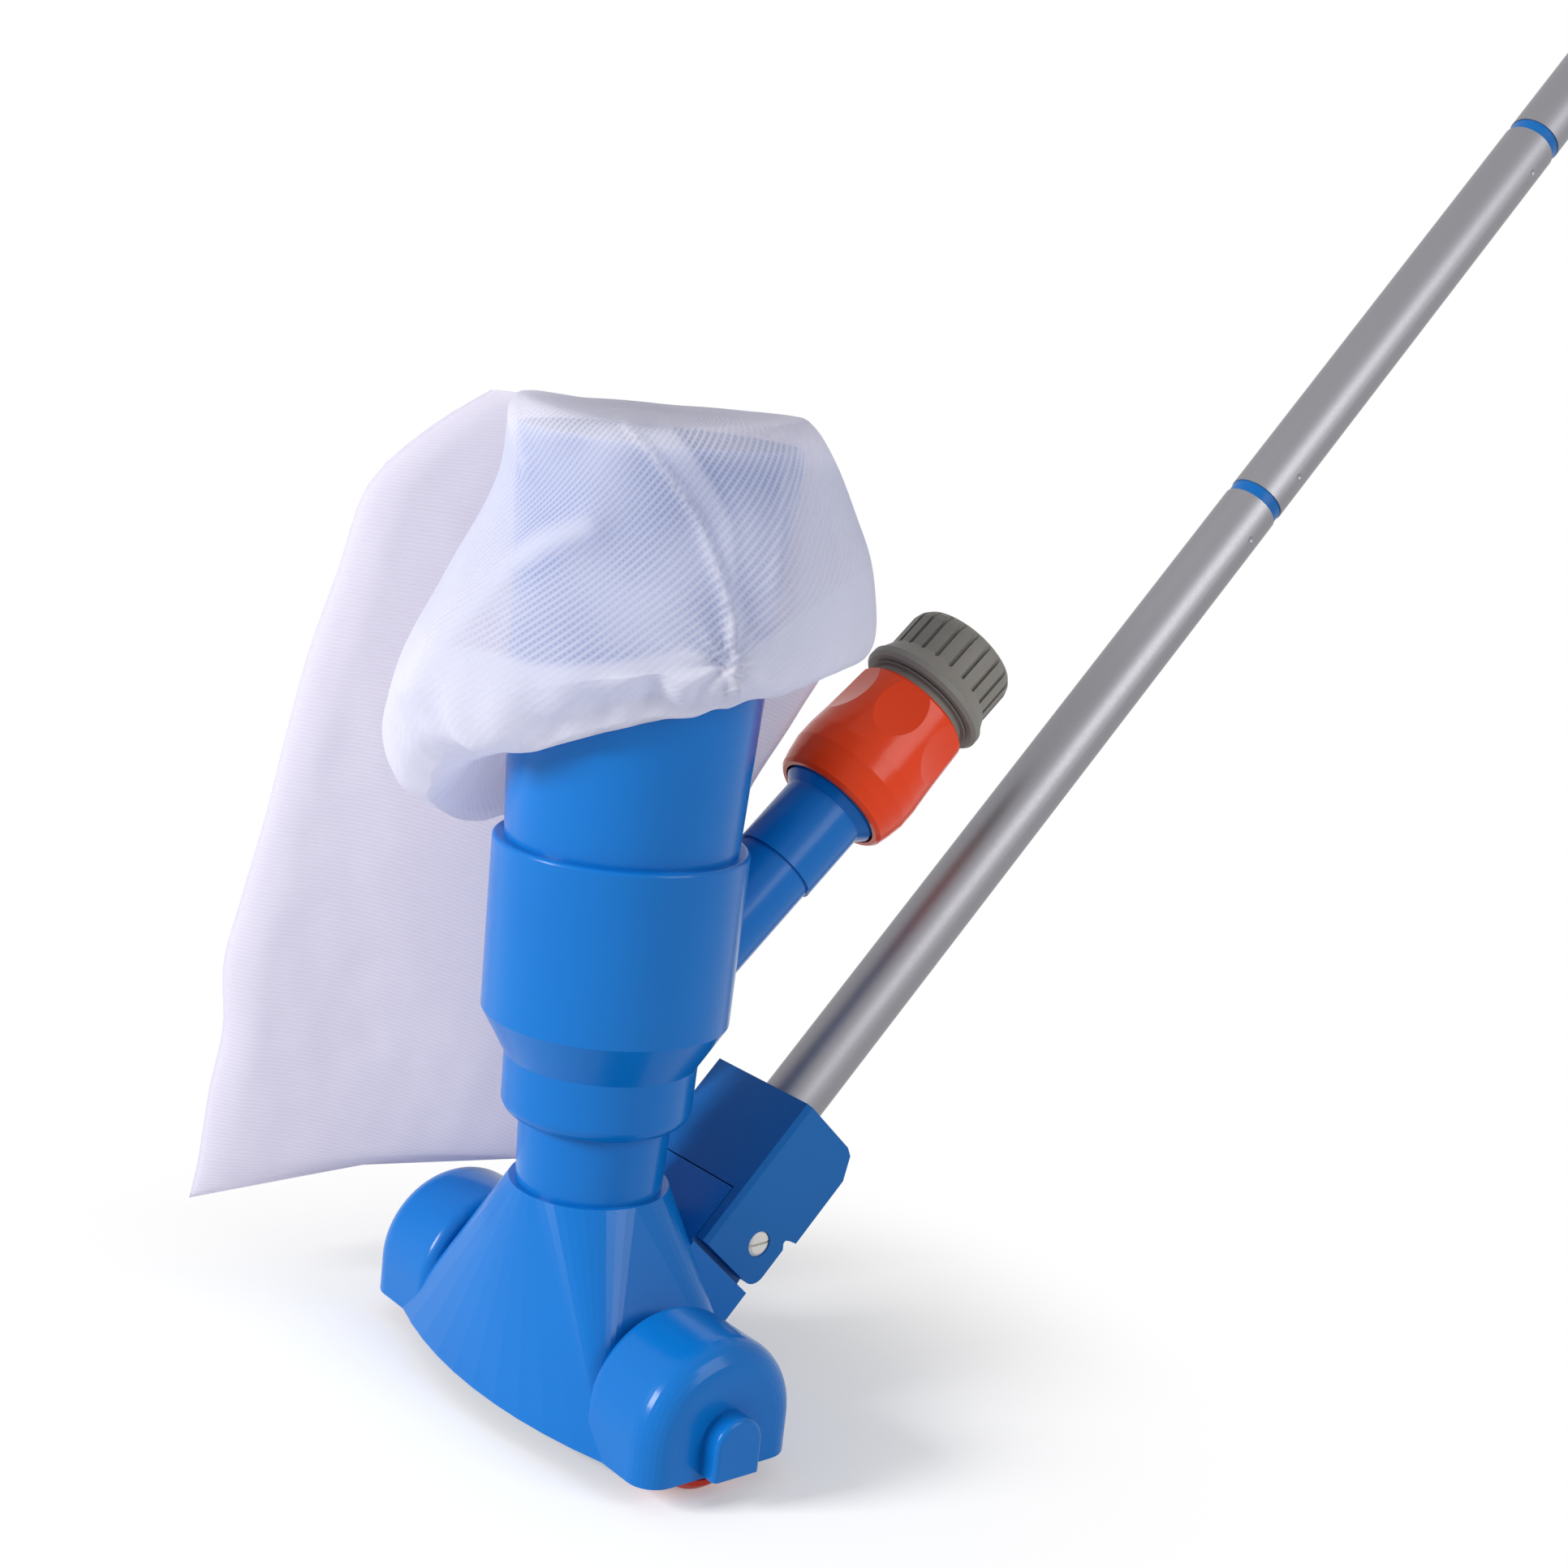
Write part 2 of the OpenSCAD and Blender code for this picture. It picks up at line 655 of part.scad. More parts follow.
// Sliding sleeve with rounded ends and grip scallops
module release_sleeve() {
    end_r = 1;
    in_r = core_r + run_gap;
    mouth_l = 5;
    // scallops are scooped out by a cylinder that lies across the sleeve
    scoop_depth = 1.05;
    scoop_down = 7;
    scoop_half_l = 12;
    scoop_rise = 2.2;
    scoop_r = (pow(scoop_half_l, 2) + pow(scoop_rise, 2)) / (2 * scoop_rise);
    first_turn = 0.7;
    color(signal_orange) on_branch() difference() {
        rotate_extrude() polygon([
            [in_r, sleeve_s + mouth_l], [mouth_r, sleeve_s + mouth_l - 1.5], [mouth_r, sleeve_s],
            [sleeve_low_r - end_r, sleeve_s], [sleeve_low_r, sleeve_s + end_r],
            [(sleeve_low_r + sleeve_mid_r) / 2, sleeve_s + 4.5],
            [sleeve_mid_r, sleeve_s + 9.5], [sleeve_mid_r, sleeve_s + 15],
            [sleeve_mid_r - 0.8, sleeve_s + 24.5],
            [sleeve_top_r, sleeve_end_s - end_r], [sleeve_top_r - end_r, sleeve_end_s],
            [in_r, sleeve_end_s]]);
        for (i = [0 : scallops - 1]) rotate([0, 0, 360 * (i + first_turn) / scallops])
            translate([sleeve_top_r - scoop_depth + scoop_r, 0, sleeve_end_s - scoop_down])
                across() cylinder(r = scoop_r, h = 2 * sleeve_mid_r, center = true);
    }
}

// Split collet that the nut squeezes onto the hose
module hose_collet() {
    r_in = spigot_r + 3;
    r_out = thread_r - 0.9;
    low_s = land_end_s + 0.3;
    l = 8;
    slots = 6;
    color(warm_grey) on_branch() difference() {
        translate([0, 0, low_s]) difference() {
            cylinder(r1 = r_out, r2 = r_out - 1.2, h = l);
            translate([0, 0, -1]) cylinder(r = r_in, h = l + 2);
        }
        for (i = [1 : slots]) rotate([0, 0, 360 * i / slots])
            translate([r_in - 1, -0.6, low_s + 2]) cube([6, 1.2, l]);
    }
}

module hose_nut() {
    land_r = thread_r + run_gap;
    flange_l = 3.5;
    shoulder_l = 4.5;
    groove_r = 0.85;
    groove_depth = 1.4;
    collet_r = thread_r - 0.6;
    hose_r = 10.4;
    color(warm_grey) on_branch() difference() {
        rotate_extrude() polygon([
            [land_r, nut_s], [nut_flange_r - 1, nut_s], [nut_flange_r, nut_s + 1],
            [nut_flange_r, nut_s + flange_l - 0.5], [nut_flange_r - 0.5, nut_s + flange_l],
            [nut_r + 1, nut_s + flange_l + shoulder_l / 2],
            [nut_r, nut_s + flange_l + shoulder_l], [nut_r, nut_end_s - 4],
            [nut_r - 0.5, nut_end_s - 2.2], [nut_r - 1.6, nut_end_s - 0.7],
            [nut_r - 3, nut_end_s], [hose_r, nut_end_s],
            [hose_r, nut_end_s - 1.4], [collet_r, nut_end_s - 1.4], [collet_r, land_end_s + 0.2],
            [land_r, land_end_s + 0.2]]);
        for (i = [1 : nut_ribs]) rotate([0, 0, 360 * i / nut_ribs])
            translate([nut_r - groove_depth + groove_r, 0, nut_s + flange_l + shoulder_l - 1])
                cylinder(r = groove_r, h = nut_l, $fn = 16);
    }
}

// ---------- pole socket ----------

// Side view of the socket: front face, top, bevelled rear and the ears' outline
module socket_side() {
    step = 1.5;
    arc = 6;
    polygon(concat(
        [[-block_front, block_top_a], [block_rear - 7, block_top_a],
            [block_rear - 4, block_top_a - 1.2], [block_rear - 0.6, block_top_a - 7],
            [block_rear, block_top_a - 8], [block_rear, block_low_a + 0.6],
            [ear_rear, block_low_a - 0.2], [ear_rear - step, block_low_a - 1],
            [ear_rear - step, block_low_a - 2], [ear_rear, block_low_a - 2 - step]],
        [for (i = [0 : arc]) let (t = 90 * i / arc)
            [ear_rear - ear_round_r + ear_round_r * cos(t),
                ear_low_a + ear_round_r - ear_round_r * sin(t)]],
        [[-block_front, ear_low_a]]));
}

module pole_socket() {
    edge = 1.4;
    far = 60;
    color(dark_blue) on_pole() difference() {
        across() translate([0, 0, -block_half_w]) linear_extrude(2 * block_half_w) socket_side();
        // bevels down the front edges
        for (side = [-1, 1])
            translate([-block_front, side * block_half_w, pin_a]) rotate([0, 0, 45])
                cube([edge * sqrt(2), edge * sqrt(2), 4 * far], center = true);
        // room for the bracket's tongue between the ears
        translate([-far / 2, -tongue_half_w - face_gap, block_low_a - far])
            cube([far, 2 * (tongue_half_w + face_gap), far]);
        // bore for the pole
        difference() {
            translate([0, 0, tube_floor_a]) cylinder(r = pole_r + plug_gap, h = far);
            translate([0, 0, tube_floor_a - 1])
                cylinder(r = stud_r, h = stud_l + 1, $fn = 48);
        }
        // pin's hole
        translate([pin_c, 0, pin_a]) across()
            cylinder(r = pin_r + run_gap, h = 3 * block_half_w, center = true, $fn = 48);
    }
}

clip_t = 1;
clip_y = block_half_w + 0.4;

module pivot_pin() {
    dome = 0.6;
    neck_w = clip_t + 2 * plug_gap;
    half_l = block_half_w - 0.6;
    slot_w = 0.7;
    slot_depth = 1.2;
    slot_turn = 45;
    color(pole_silver) on_pole() translate([pin_c, 0, pin_a]) across() difference() {
        rotate_extrude($fn = 48)
            polygon([[0, half_l + dome], [pin_r - 1, half_l + dome], [pin_r, half_l],
                [pin_r, plug_gap - clip_y], [pin_r - 1, plug_gap - clip_y],
                [pin_r - 1, -clip_y - neck_w], [pin_r, -clip_y - neck_w],
                [pin_r, -clip_y - neck_w - 1], [pin_r - 0.6, -clip_y - neck_w - 1.6],
                [0, -clip_y - neck_w - 1.6]]);
        rotate([0, 0, slot_turn]) translate([-pin_r, -slot_w / 2, half_l + dome - slot_depth])
            cube([2 * pin_r, slot_w, 2 * slot_depth]);
    }
}

// Split retaining ring on the pin's far end
module pin_clip() {
    color(pole_silver) on_pole() translate([pin_c, clip_y + clip_t + plug_gap, pin_a]) across()
        difference() {
            ring(pin_r + 2, pin_r - 1 + plug_gap, clip_t);
            translate([0, -1.2, -1]) cube([10, 2.4, clip_t + 2]);
        }
}

// ---------- pole ----------

module pole_tube(low_a, top_a) {
    dent_r = 1.6;
    dent = 0.5;
    from_end = 12.5;
    color(pole_silver) on_pole() difference() {
        translate([0, 0, low_a]) ring(pole_r, pole_in_r, top_a - low_a);
        for (turn = [0, 180], a = [low_a + from_end, top_a - from_end]) rotate([0, 0, turn])
            translate([0, -pole_r - dent_r + dent, a]) sphere(dent_r, $fn = 16);
    }
}

module pole_tube_1() {
    pole_tube(tube_1_a, ring_1_a);
}

module pole_tube_2() {
    pole_tube(tube_2_a, ring_2_a);
}

module pole_tube_3() {
    pole_tube(tube_3_a, pole_end_a);
}

// Insert with the female thread, in the lower end of each section
module pole_insert(low_a) {
    color(dark_blue) on_pole() translate([0, 0, low_a])
        ring(pole_in_r - plug_gap, stud_r + plug_gap, insert_l);
}

module pole_insert_1() {
    pole_insert(tube_1_a);
}

module pole_insert_2() {
    pole_insert(tube_2_a);
}

module pole_insert_3() {
    pole_insert(tube_3_a);
}

// Plug with the joining ring, in the upper end of a section; its stud screws into the next one
module pole_plug(top_a) {
    plug_l = 20;
    color(dark_blue) on_pole() translate([0, 0, top_a]) {
        translate([0, 0, -plug_l]) cylinder(r = pole_in_r - plug_gap, h = plug_l);
        cylinder(r = ring_r, h = ring_l);
        translate([0, 0, ring_l]) cylinder(r = stud_r, h = stud_l, $fn = 48);
    }
}

module pole_plug_1() {
    pole_plug(ring_1_a);
}

module pole_plug_2() {
    pole_plug(ring_2_a);
}

module pole_end_cap() {
    plug_l = 18;
    dome_l = 6;
    cap_r = pole_r - 0.1;
    edge = 3;
    arc = 6;
    color(dark_blue) on_pole() translate([0, 0, pole_end_a]) rotate_extrude() polygon(concat(
        [[0, -plug_l], [pole_in_r - plug_gap, -plug_l], [pole_in_r - plug_gap, 0], [cap_r, 0]],
        [for (i = [0 : arc]) let (t = 90 * i / arc)
            [cap_r - edge + edge * cos(t), dome_l - edge + edge * sin(t)]],
        [[0, dome_l]]));
}

// ---------- leaf bag ----------

// A closed skin through rings of equal length, with a flat end on the first and last ring
module skin(rings) {
    n = len(rings[0]);
    m = len(rings);
    points = [for (r = rings) for (p = r) p];
    sides = [for (j = [0 : m - 2]) for (i = [0 : n - 1]) let (k = (i + 1) % n)
        each [[j * n + i, (j + 1) * n + k, j * n + k], [j * n + i, (j + 1) * n + i, (j + 1) * n + k]]];
    last = (m - 1) * n;
    low = [for (i = [0 : n / 2 - 2]) each [[i, i + 1, n - 2 - i], [i, n - 2 - i, n - 1 - i]]];
    high = [for (i = [0 : n / 2 - 2])
        each [[last + i, last + n - 2 - i, last + i + 1], [last + i, last + n - 1 - i, last + n - 2 - i]]];
    polyhedron(points = points, faces = concat(sides, low, high), convexity = 8);
}

// Rings of the bag's front part, from below the hem up: drop from the outlet's top, rise to the
// right, and reach beyond the outlet's mouth to the left, to the right and to the front
hood_rings = [
    [84, 0.50, 11.5, 3.5, 3.5],
    [78, 0.38, 24.5, 12.5, 8.5],
    [70, 0.28, 29.5, 21.5, 11.5],
    [59, 0.23, 27.5, 23.5, 11.5],
    [43, 0.22, 22.5, 21.5, 9.5],
    [27, 0.19, 13.5, 16.5, 6.5],
    [10, 0.15, 4.5, 9.5, 3.5],
    [-4, 0.06, 2.5, 2.5, 2.5],
    [-bag_top_rise - 0.5, 0.03, -4.5, -3.5, -4.5],
    [-bag_top_rise, 0.02, -32.5, -32.5, -32.5]];
hood_sides = 28;
hem_drop = 73;
hem_rise = 0.34;
hem_slack = 1.6;

// The hem, a slanted ring round the outlet tube
function hem_point(a, out, lift) = let (
    mean_z = outlet_top_z - hem_drop,
    z = mean_z + hem_rise * outlet_r(mean_z) * cos(a),
    r = outlet_r(z) + out)
    [r * cos(a), r * sin(a), z + lift];

function hem_ring(lift) = [for (i = [0 : hood_sides - 1])
    hem_point(360 * i / hood_sides, hem_slack, lift)];

// One ring of the front part, moved in by t; its rear side lies on the bag's flat
function hood_ring(g, t, lift) = [for (i = [0 : hood_sides - 1])
    let (a = 360 * i / hood_sides,
        side = outlet_top_r - t + (cos(a) > 0 ? g[3] : g[2]),
        front = outlet_top_r - t + g[4],
        x = side * cos(a),
        y = sin(a) > 0 ? min((front + 4) * sin(a), bag_flat - t) : front * sin(a))
    [x, y, outlet_top_z - g[0] + g[1] * x + lift]];

module bag_hood() {
    top = len(hood_rings) - 1;
    fold_lift = 4;
    color(mesh_white) in_bag_frame() skin(concat(
        [for (j = [top : -1 : 0]) hood_ring(hood_rings[j], 0, 0)],
        [hem_ring(0), hem_ring(bag_t)],
        [for (j = [0 : top]) hood_ring(hood_rings[j], bag_t,
            j == 0 ? fold_lift : j == 1 ? bag_t : j > top - 2 ? -bag_t : 0)]));
}

// Rows of the sack, from its foot up: height at the left and at the right edge in percent of the
// sack's length, left and right reach, and thickness in percent
sack_rows = [
    [0, 10, -125, -20, 25],
    [5, 11, -123, 4, 55],
    [14, 15, -122, 12, 80],
    [22, 22, -118, 18, 95],
    [30, 30, -119, 22, 100],
    [38, 38, -115, 25, 100],
    [49, 48, -109, 27.5, 100],
    [58, 57, -105, 31.5, 100],
    [68, 67, -100, 42, 100],
    [78, 76, -93, 50, 95],
    [88, 87, -86, 50, 80],
    [95, 94, -70, 42, 65],
    [100, 100, -53, 38, 40]];

function sack_row(r) = let (
    back = bag_flat + cloth_gap,
    l = bag_top_z - 3 - sack_foot_z,
    t = sack_t * r[4] / 100,
    spread = [0, 0.02, 0.12, 0.35, 0.65, 0.88, 0.98, 1],
    bulge = [0.3, 0.75, 0.95, 1, 1, 0.95, 0.75, 0.3])
    [for (i = [0 : 15]) let (
        k = i < 8 ? i : 15 - i,
        u = spread[k],
        rise = r[0] + (r[1] - r[0]) * (1 - (1 - u) * (1 - u)))
        [r[2] + (r[3] - r[2]) * u, back + (i < 8 ? 0 : t * bulge[k]), sack_foot_z + l * rise / 100]];

module bag_sack() {
    color(mesh_white) in_bag_frame() skin([for (r = sack_rows) sack_row(r)]);
}

// Elastic in the hem, a slanted hoop round the outlet tube
module bag_elastic() {
    hoop = 40;
    cord_sides = 8;
    cord_r = 0.8;
    lift = 4;
    points = [for (i = [0 : hoop - 1]) let (a = 360 * i / hoop,
            mid = hem_point(a, cloth_gap + cord_r, lift),
            r = norm([mid[0], mid[1]]) + 0.1)
        for (k = [0 : cord_sides - 1]) let (b = 360 * k / cord_sides)
            [(r + cord_r * cos(b)) * cos(a), (r + cord_r * cos(b)) * sin(a), mid[2] + cord_r * sin(b)]];
    faces = [for (i = [0 : hoop - 1]) for (k = [0 : cord_sides - 1])
        let (i2 = (i + 1) % hoop, k2 = (k + 1) % cord_sides)
        each [[i * cord_sides + k, i * cord_sides + k2, i2 * cord_sides + k2],
            [i * cord_sides + k, i2 * cord_sides + k2, i2 * cord_sides + k]]];
    color("white") in_bag_frame() polyhedron(points = points, faces = faces, convexity = 4);
}

head_shell();
wheel_left();
wheel_right();
axle_left();
axle_right();
suction_tube();
neck_o_ring();
jet_body();
jet_ring();
outlet_tube();
outlet_o_ring();
hose_adapter();
adapter_washer();
nipple_o_ring();
connector_core();
claw_ring();
release_sleeve();
hose_collet();
hose_nut();
pole_socket();
pivot_pin();
pin_clip();
pole_tube_1();
pole_tube_2();
pole_tube_3();
pole_insert_1();
pole_insert_2();
pole_insert_3();
pole_plug_1();
pole_plug_2();
pole_end_cap();
bag_hood();
bag_sack();
bag_elastic();
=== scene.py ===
"""Dressed scene of a hose-fed pool vacuum head with its leaf bag, hose connector and sectional pole."""
import logging
import math
from dataclasses import dataclass
from enum import Enum
from typing import Callable, Iterable, Sequence

import bmesh
import bpy
from mathutils import Matrix, Vector, noise


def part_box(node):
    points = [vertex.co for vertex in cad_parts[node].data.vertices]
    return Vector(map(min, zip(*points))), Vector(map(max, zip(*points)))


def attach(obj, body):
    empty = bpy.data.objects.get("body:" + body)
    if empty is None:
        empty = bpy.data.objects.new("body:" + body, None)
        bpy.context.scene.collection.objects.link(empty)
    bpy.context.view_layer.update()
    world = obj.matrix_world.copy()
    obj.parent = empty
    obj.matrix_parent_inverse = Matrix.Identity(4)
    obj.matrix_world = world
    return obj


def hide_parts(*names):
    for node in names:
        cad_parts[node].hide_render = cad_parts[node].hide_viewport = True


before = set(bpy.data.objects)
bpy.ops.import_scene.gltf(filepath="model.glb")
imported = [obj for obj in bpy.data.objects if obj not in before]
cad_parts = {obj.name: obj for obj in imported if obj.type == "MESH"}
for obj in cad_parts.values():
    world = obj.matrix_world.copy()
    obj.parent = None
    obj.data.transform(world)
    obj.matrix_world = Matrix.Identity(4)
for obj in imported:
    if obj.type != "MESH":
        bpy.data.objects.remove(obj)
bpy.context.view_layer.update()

MM = 0.001
LOG = logging.getLogger("vacuum_head")


# ---------- colours and shader nodes ----------


def linear(code: str) -> tuple[float, float, float, float]:
    """Turns an sRGB hex colour into linear RGBA.

    Args:
        code: Six hex digits.

    Returns:
        Linear red, green and blue, and an alpha of 1.
    """
    parts = [int(code[i:i + 2], 16) / 255 for i in (0, 2, 4)]
    r, g, b = (p / 12.92 if p <= 0.04045 else ((p + 0.055) / 1.055) ** 2.4 for p in parts)
    return (r, g, b, 1.0)


def add_node(tree: bpy.types.NodeTree, kind: str, links: dict | None = None, **settings: object) -> bpy.types.Node:
    """Adds a shader node with its settings, values and links.

    Args:
        tree: The node tree.
        kind: The node's type, without the "ShaderNode" in front.
        links: Input name or number to a value, or to an output socket that feeds it.
        settings: Properties of the node.

    Returns:
        The node.
    """
    node = tree.nodes.new("ShaderNode" + kind)
    for name, value in settings.items():
        setattr(node, name, value)
    for key, value in (links or {}).items():
        if isinstance(value, bpy.types.NodeSocket):
            tree.links.new(value, node.inputs[key])
        else:
            node.inputs[key].default_value = value
    return node


def empty_material(name: str) -> tuple[bpy.types.Material, bpy.types.NodeTree, bpy.types.Node]:
    """Makes a material with nothing but its output node.

    Args:
        name: The material's name.

    Returns:
        The material, its tree and its output node.
    """
    material = bpy.data.materials.new(name)
    material.use_nodes = True
    tree = material.node_tree
    tree.nodes.clear()
    return material, tree, add_node(tree, "OutputMaterial")


def scaled_coordinates(tree: bpy.types.NodeTree, scale: Sequence[float], turn: Sequence[float] = (0, 0, 0)
                       ) -> bpy.types.NodeSocket:
    """Gives object coordinates, turned and scaled.

    Args:
        tree: The node tree.
        scale: Scale along each axis, where a smaller value draws the pattern out along that axis.
        turn: Turn about each axis, in radians.

    Returns:
        The vector output.
    """
    place = add_node(tree, "TexCoord")
    mapping = add_node(tree, "Mapping", {"Vector": place.outputs["Object"], "Rotation": turn,
                                         "Scale": [1 / s for s in scale]}, vector_type="TEXTURE")
    return mapping.outputs["Vector"]


def directly_seen(tree: bpy.types.NodeTree) -> bpy.types.NodeSocket:
    """Gives 1 for what is looked at, mirrored or seen through something, and 0 for light on other surfaces."""
    path = add_node(tree, "LightPath")
    seen = add_node(tree, "Math", {0: path.outputs["Is Camera Ray"], 1: path.outputs["Is Glossy Ray"]},
                    operation="ADD", use_clamp=True)
    seen = add_node(tree, "Math", {0: seen.outputs[0], 1: path.outputs["Is Transmission Ray"]},
                    operation="ADD", use_clamp=True)
    return seen.outputs[0]


# ---------- finishes ----------


@dataclass(frozen=True)
class MouldedPlastic:
    """Injection-moulded plastic: a clear gloss or satin skin, with faint flow shade and mould texture.

    Attributes:
        name: The material's name.
        colour: Base colour in sRGB hex.
        shade: Colour of the faint flow shade in sRGB hex.
        roughness: Mean roughness.
        coat: Weight of the clear skin.
        mirror: Strength of the reflection off the bare surface, 0.5 for an ideal polish.
        grain_mm: Size of the mould texture.
        grain_depth: Strength of the mould texture.
        glow: Weight of the light that spreads inside the plastic.
    """

    name: str
    colour: str
    shade: str
    roughness: float
    coat: float = 0.0
    mirror: float = 0.3
    grain_mm: float = 1.0
    grain_depth: float = 0.02
    glow: float = 0.0

    def build(self) -> bpy.types.Material:
        """Makes the material and returns it."""
        material, tree, out = empty_material(self.name)
        flow = add_node(tree, "TexNoise", {"Vector": scaled_coordinates(tree, (1, 1, 1)), "Scale": 1 / (45 * MM),
                                           "Detail": 2.0})
        colour = add_node(tree, "Mix", {0: flow.outputs["Fac"], 6: linear(self.colour), 7: linear(self.shade)},
                          data_type="RGBA")
        grain = add_node(tree, "TexNoise", {"Vector": scaled_coordinates(tree, (1, 1, 1)),
                                            "Scale": 1 / (self.grain_mm * MM), "Detail": 3.0})
        polish = add_node(tree, "MapRange", {"Value": flow.outputs["Fac"], 3: self.roughness - 0.04,
                                             4: self.roughness + 0.05})
        bump = add_node(tree, "Bump", {"Height": grain.outputs["Fac"], "Strength": self.grain_depth,
                                       "Distance": 0.2 * MM})
        skin = add_node(tree, "BsdfPrincipled", {
            "Base Color": colour.outputs[2], "Roughness": polish.outputs[0], "Normal": bump.outputs["Normal"],
            "IOR": 1.53, "Specular IOR Level": self.mirror, "Coat Weight": self.coat, "Coat Roughness": 0.08,
            "Subsurface Weight": self.glow, "Subsurface Radius": (0.2, 0.5, 1.0), "Subsurface Scale": 2 * MM})
        tree.links.new(skin.outputs[0], out.inputs["Surface"])
        return material


@dataclass(frozen=True)
class DrawnMetal:
    """Metal with fine lines along one direction, such as drawn tube or a turned pin.

    Attributes:
        name: The material's name.
        colour: Base colour in sRGB hex.
        roughness: Mean roughness.
        line_mm: Spacing of the drawing lines.
        lean: Turn about Y that puts X along the lines, in degrees.
        depth: Strength of the lines.
    """

    name: str
    colour: str
    roughness: float
    line_mm: float = 0.6
    lean: float = 0.0
    depth: float = 0.08

    def build(self) -> bpy.types.Material:
        """Makes the material and returns it."""
        material, tree, out = empty_material(self.name)
        along = scaled_coordinates(tree, (0.02, 1, 1), (0, math.radians(self.lean), 0))
        lines = add_node(tree, "TexNoise", {"Vector": along, "Scale": 1 / (self.line_mm * MM), "Detail": 3.0})
        shine = add_node(tree, "MapRange", {"Value": lines.outputs["Fac"], 3: self.roughness - 0.06,
                                            4: self.roughness + 0.08})
        bump = add_node(tree, "Bump", {"Height": lines.outputs["Fac"], "Strength": self.depth,
                                       "Distance": 0.05 * MM})
        skin = add_node(tree, "BsdfPrincipled", {
            "Base Color": linear(self.colour), "Metallic": 1.0, "Roughness": shine.outputs[0],
            "Normal": bump.outputs["Normal"]})
        tree.links.new(skin.outputs[0], out.inputs["Surface"])
        return material


@dataclass(frozen=True)
class NettingCloth:
    """Woven polyester netting: white threads with open meshes between them.

    The threads follow the cloth's own UV map, in metres, and the attribute "cover" closes the meshes where the
    cloth lies double.

    Attributes:
        name: The material's name.
        colour: Thread colour in sRGB hex.
        pitch_mm: Spacing of the coarse threads, drawn wide enough to show.
        open_share: How open the meshes are where the cloth is single.
        bias: Turn of the threads against the piece's grain, in degrees.
    """

    name: str
    colour: str
    pitch_mm: float
    open_share: float
    bias: float

    def build(self) -> bpy.types.Material:
        """Makes the material and returns it."""
        material, tree, out = empty_material(self.name)
        uv = add_node(tree, "UVMap", uv_map="weave")
        turned = add_node(tree, "Mapping", {"Vector": uv.outputs[0], "Rotation": (0, 0, math.radians(self.bias))})
        split = add_node(tree, "SeparateXYZ", {0: turned.outputs[0]})
        ribs = []
        for output, pitch in ((1, self.pitch_mm), (0, self.pitch_mm * 0.72)):
            turns = add_node(tree, "Math", {0: split.outputs[output], 1: 2 * math.pi / (pitch * MM)},
                             operation="MULTIPLY")
            wave = add_node(tree, "Math", {0: turns.outputs[0]}, operation="SINE")
            ribs.append(add_node(tree, "MapRange", {"Value": wave.outputs[0], 1: -0.4, 2: 0.6}))
        weft = add_node(tree, "Math", {0: ribs[1].outputs[0], 1: 0.45}, operation="MULTIPLY")
        threads = add_node(tree, "Math", {0: ribs[0].outputs[0], 1: weft.outputs[0]}, operation="MAXIMUM")
        holes = add_node(tree, "MapRange", {"Value": threads.outputs[0], 3: self.open_share,
                                            4: self.open_share * 0.3})
        cover = add_node(tree, "Attribute", attribute_name="cover")
        closed = add_node(tree, "Math", {0: 1.0, 1: cover.outputs["Fac"]}, operation="SUBTRACT")
        clear = add_node(tree, "Math", {0: holes.outputs[0], 1: closed.outputs[0]}, operation="MULTIPLY",
                         use_clamp=True)
        bump = add_node(tree, "Bump", {"Height": threads.outputs[0], "Strength": 0.25, "Distance": 0.2 * MM})
        face = add_node(tree, "BsdfDiffuse", {"Color": linear(self.colour), "Normal": bump.outputs["Normal"]})
        through = add_node(tree, "BsdfTranslucent", {"Color": linear(self.colour),
                                                     "Normal": bump.outputs["Normal"]})
        cloth = add_node(tree, "MixShader", {0: 0.5, 1: face.outputs[0], 2: through.outputs[0]})
        gap = add_node(tree, "BsdfTransparent", {"Color": linear("EDEAF0")})
        shown = add_node(tree, "MixShader", {0: clear.outputs[0], 1: cloth.outputs[0], 2: gap.outputs[0]})
        tree.links.new(shown.outputs[0], out.inputs["Surface"])
        return material


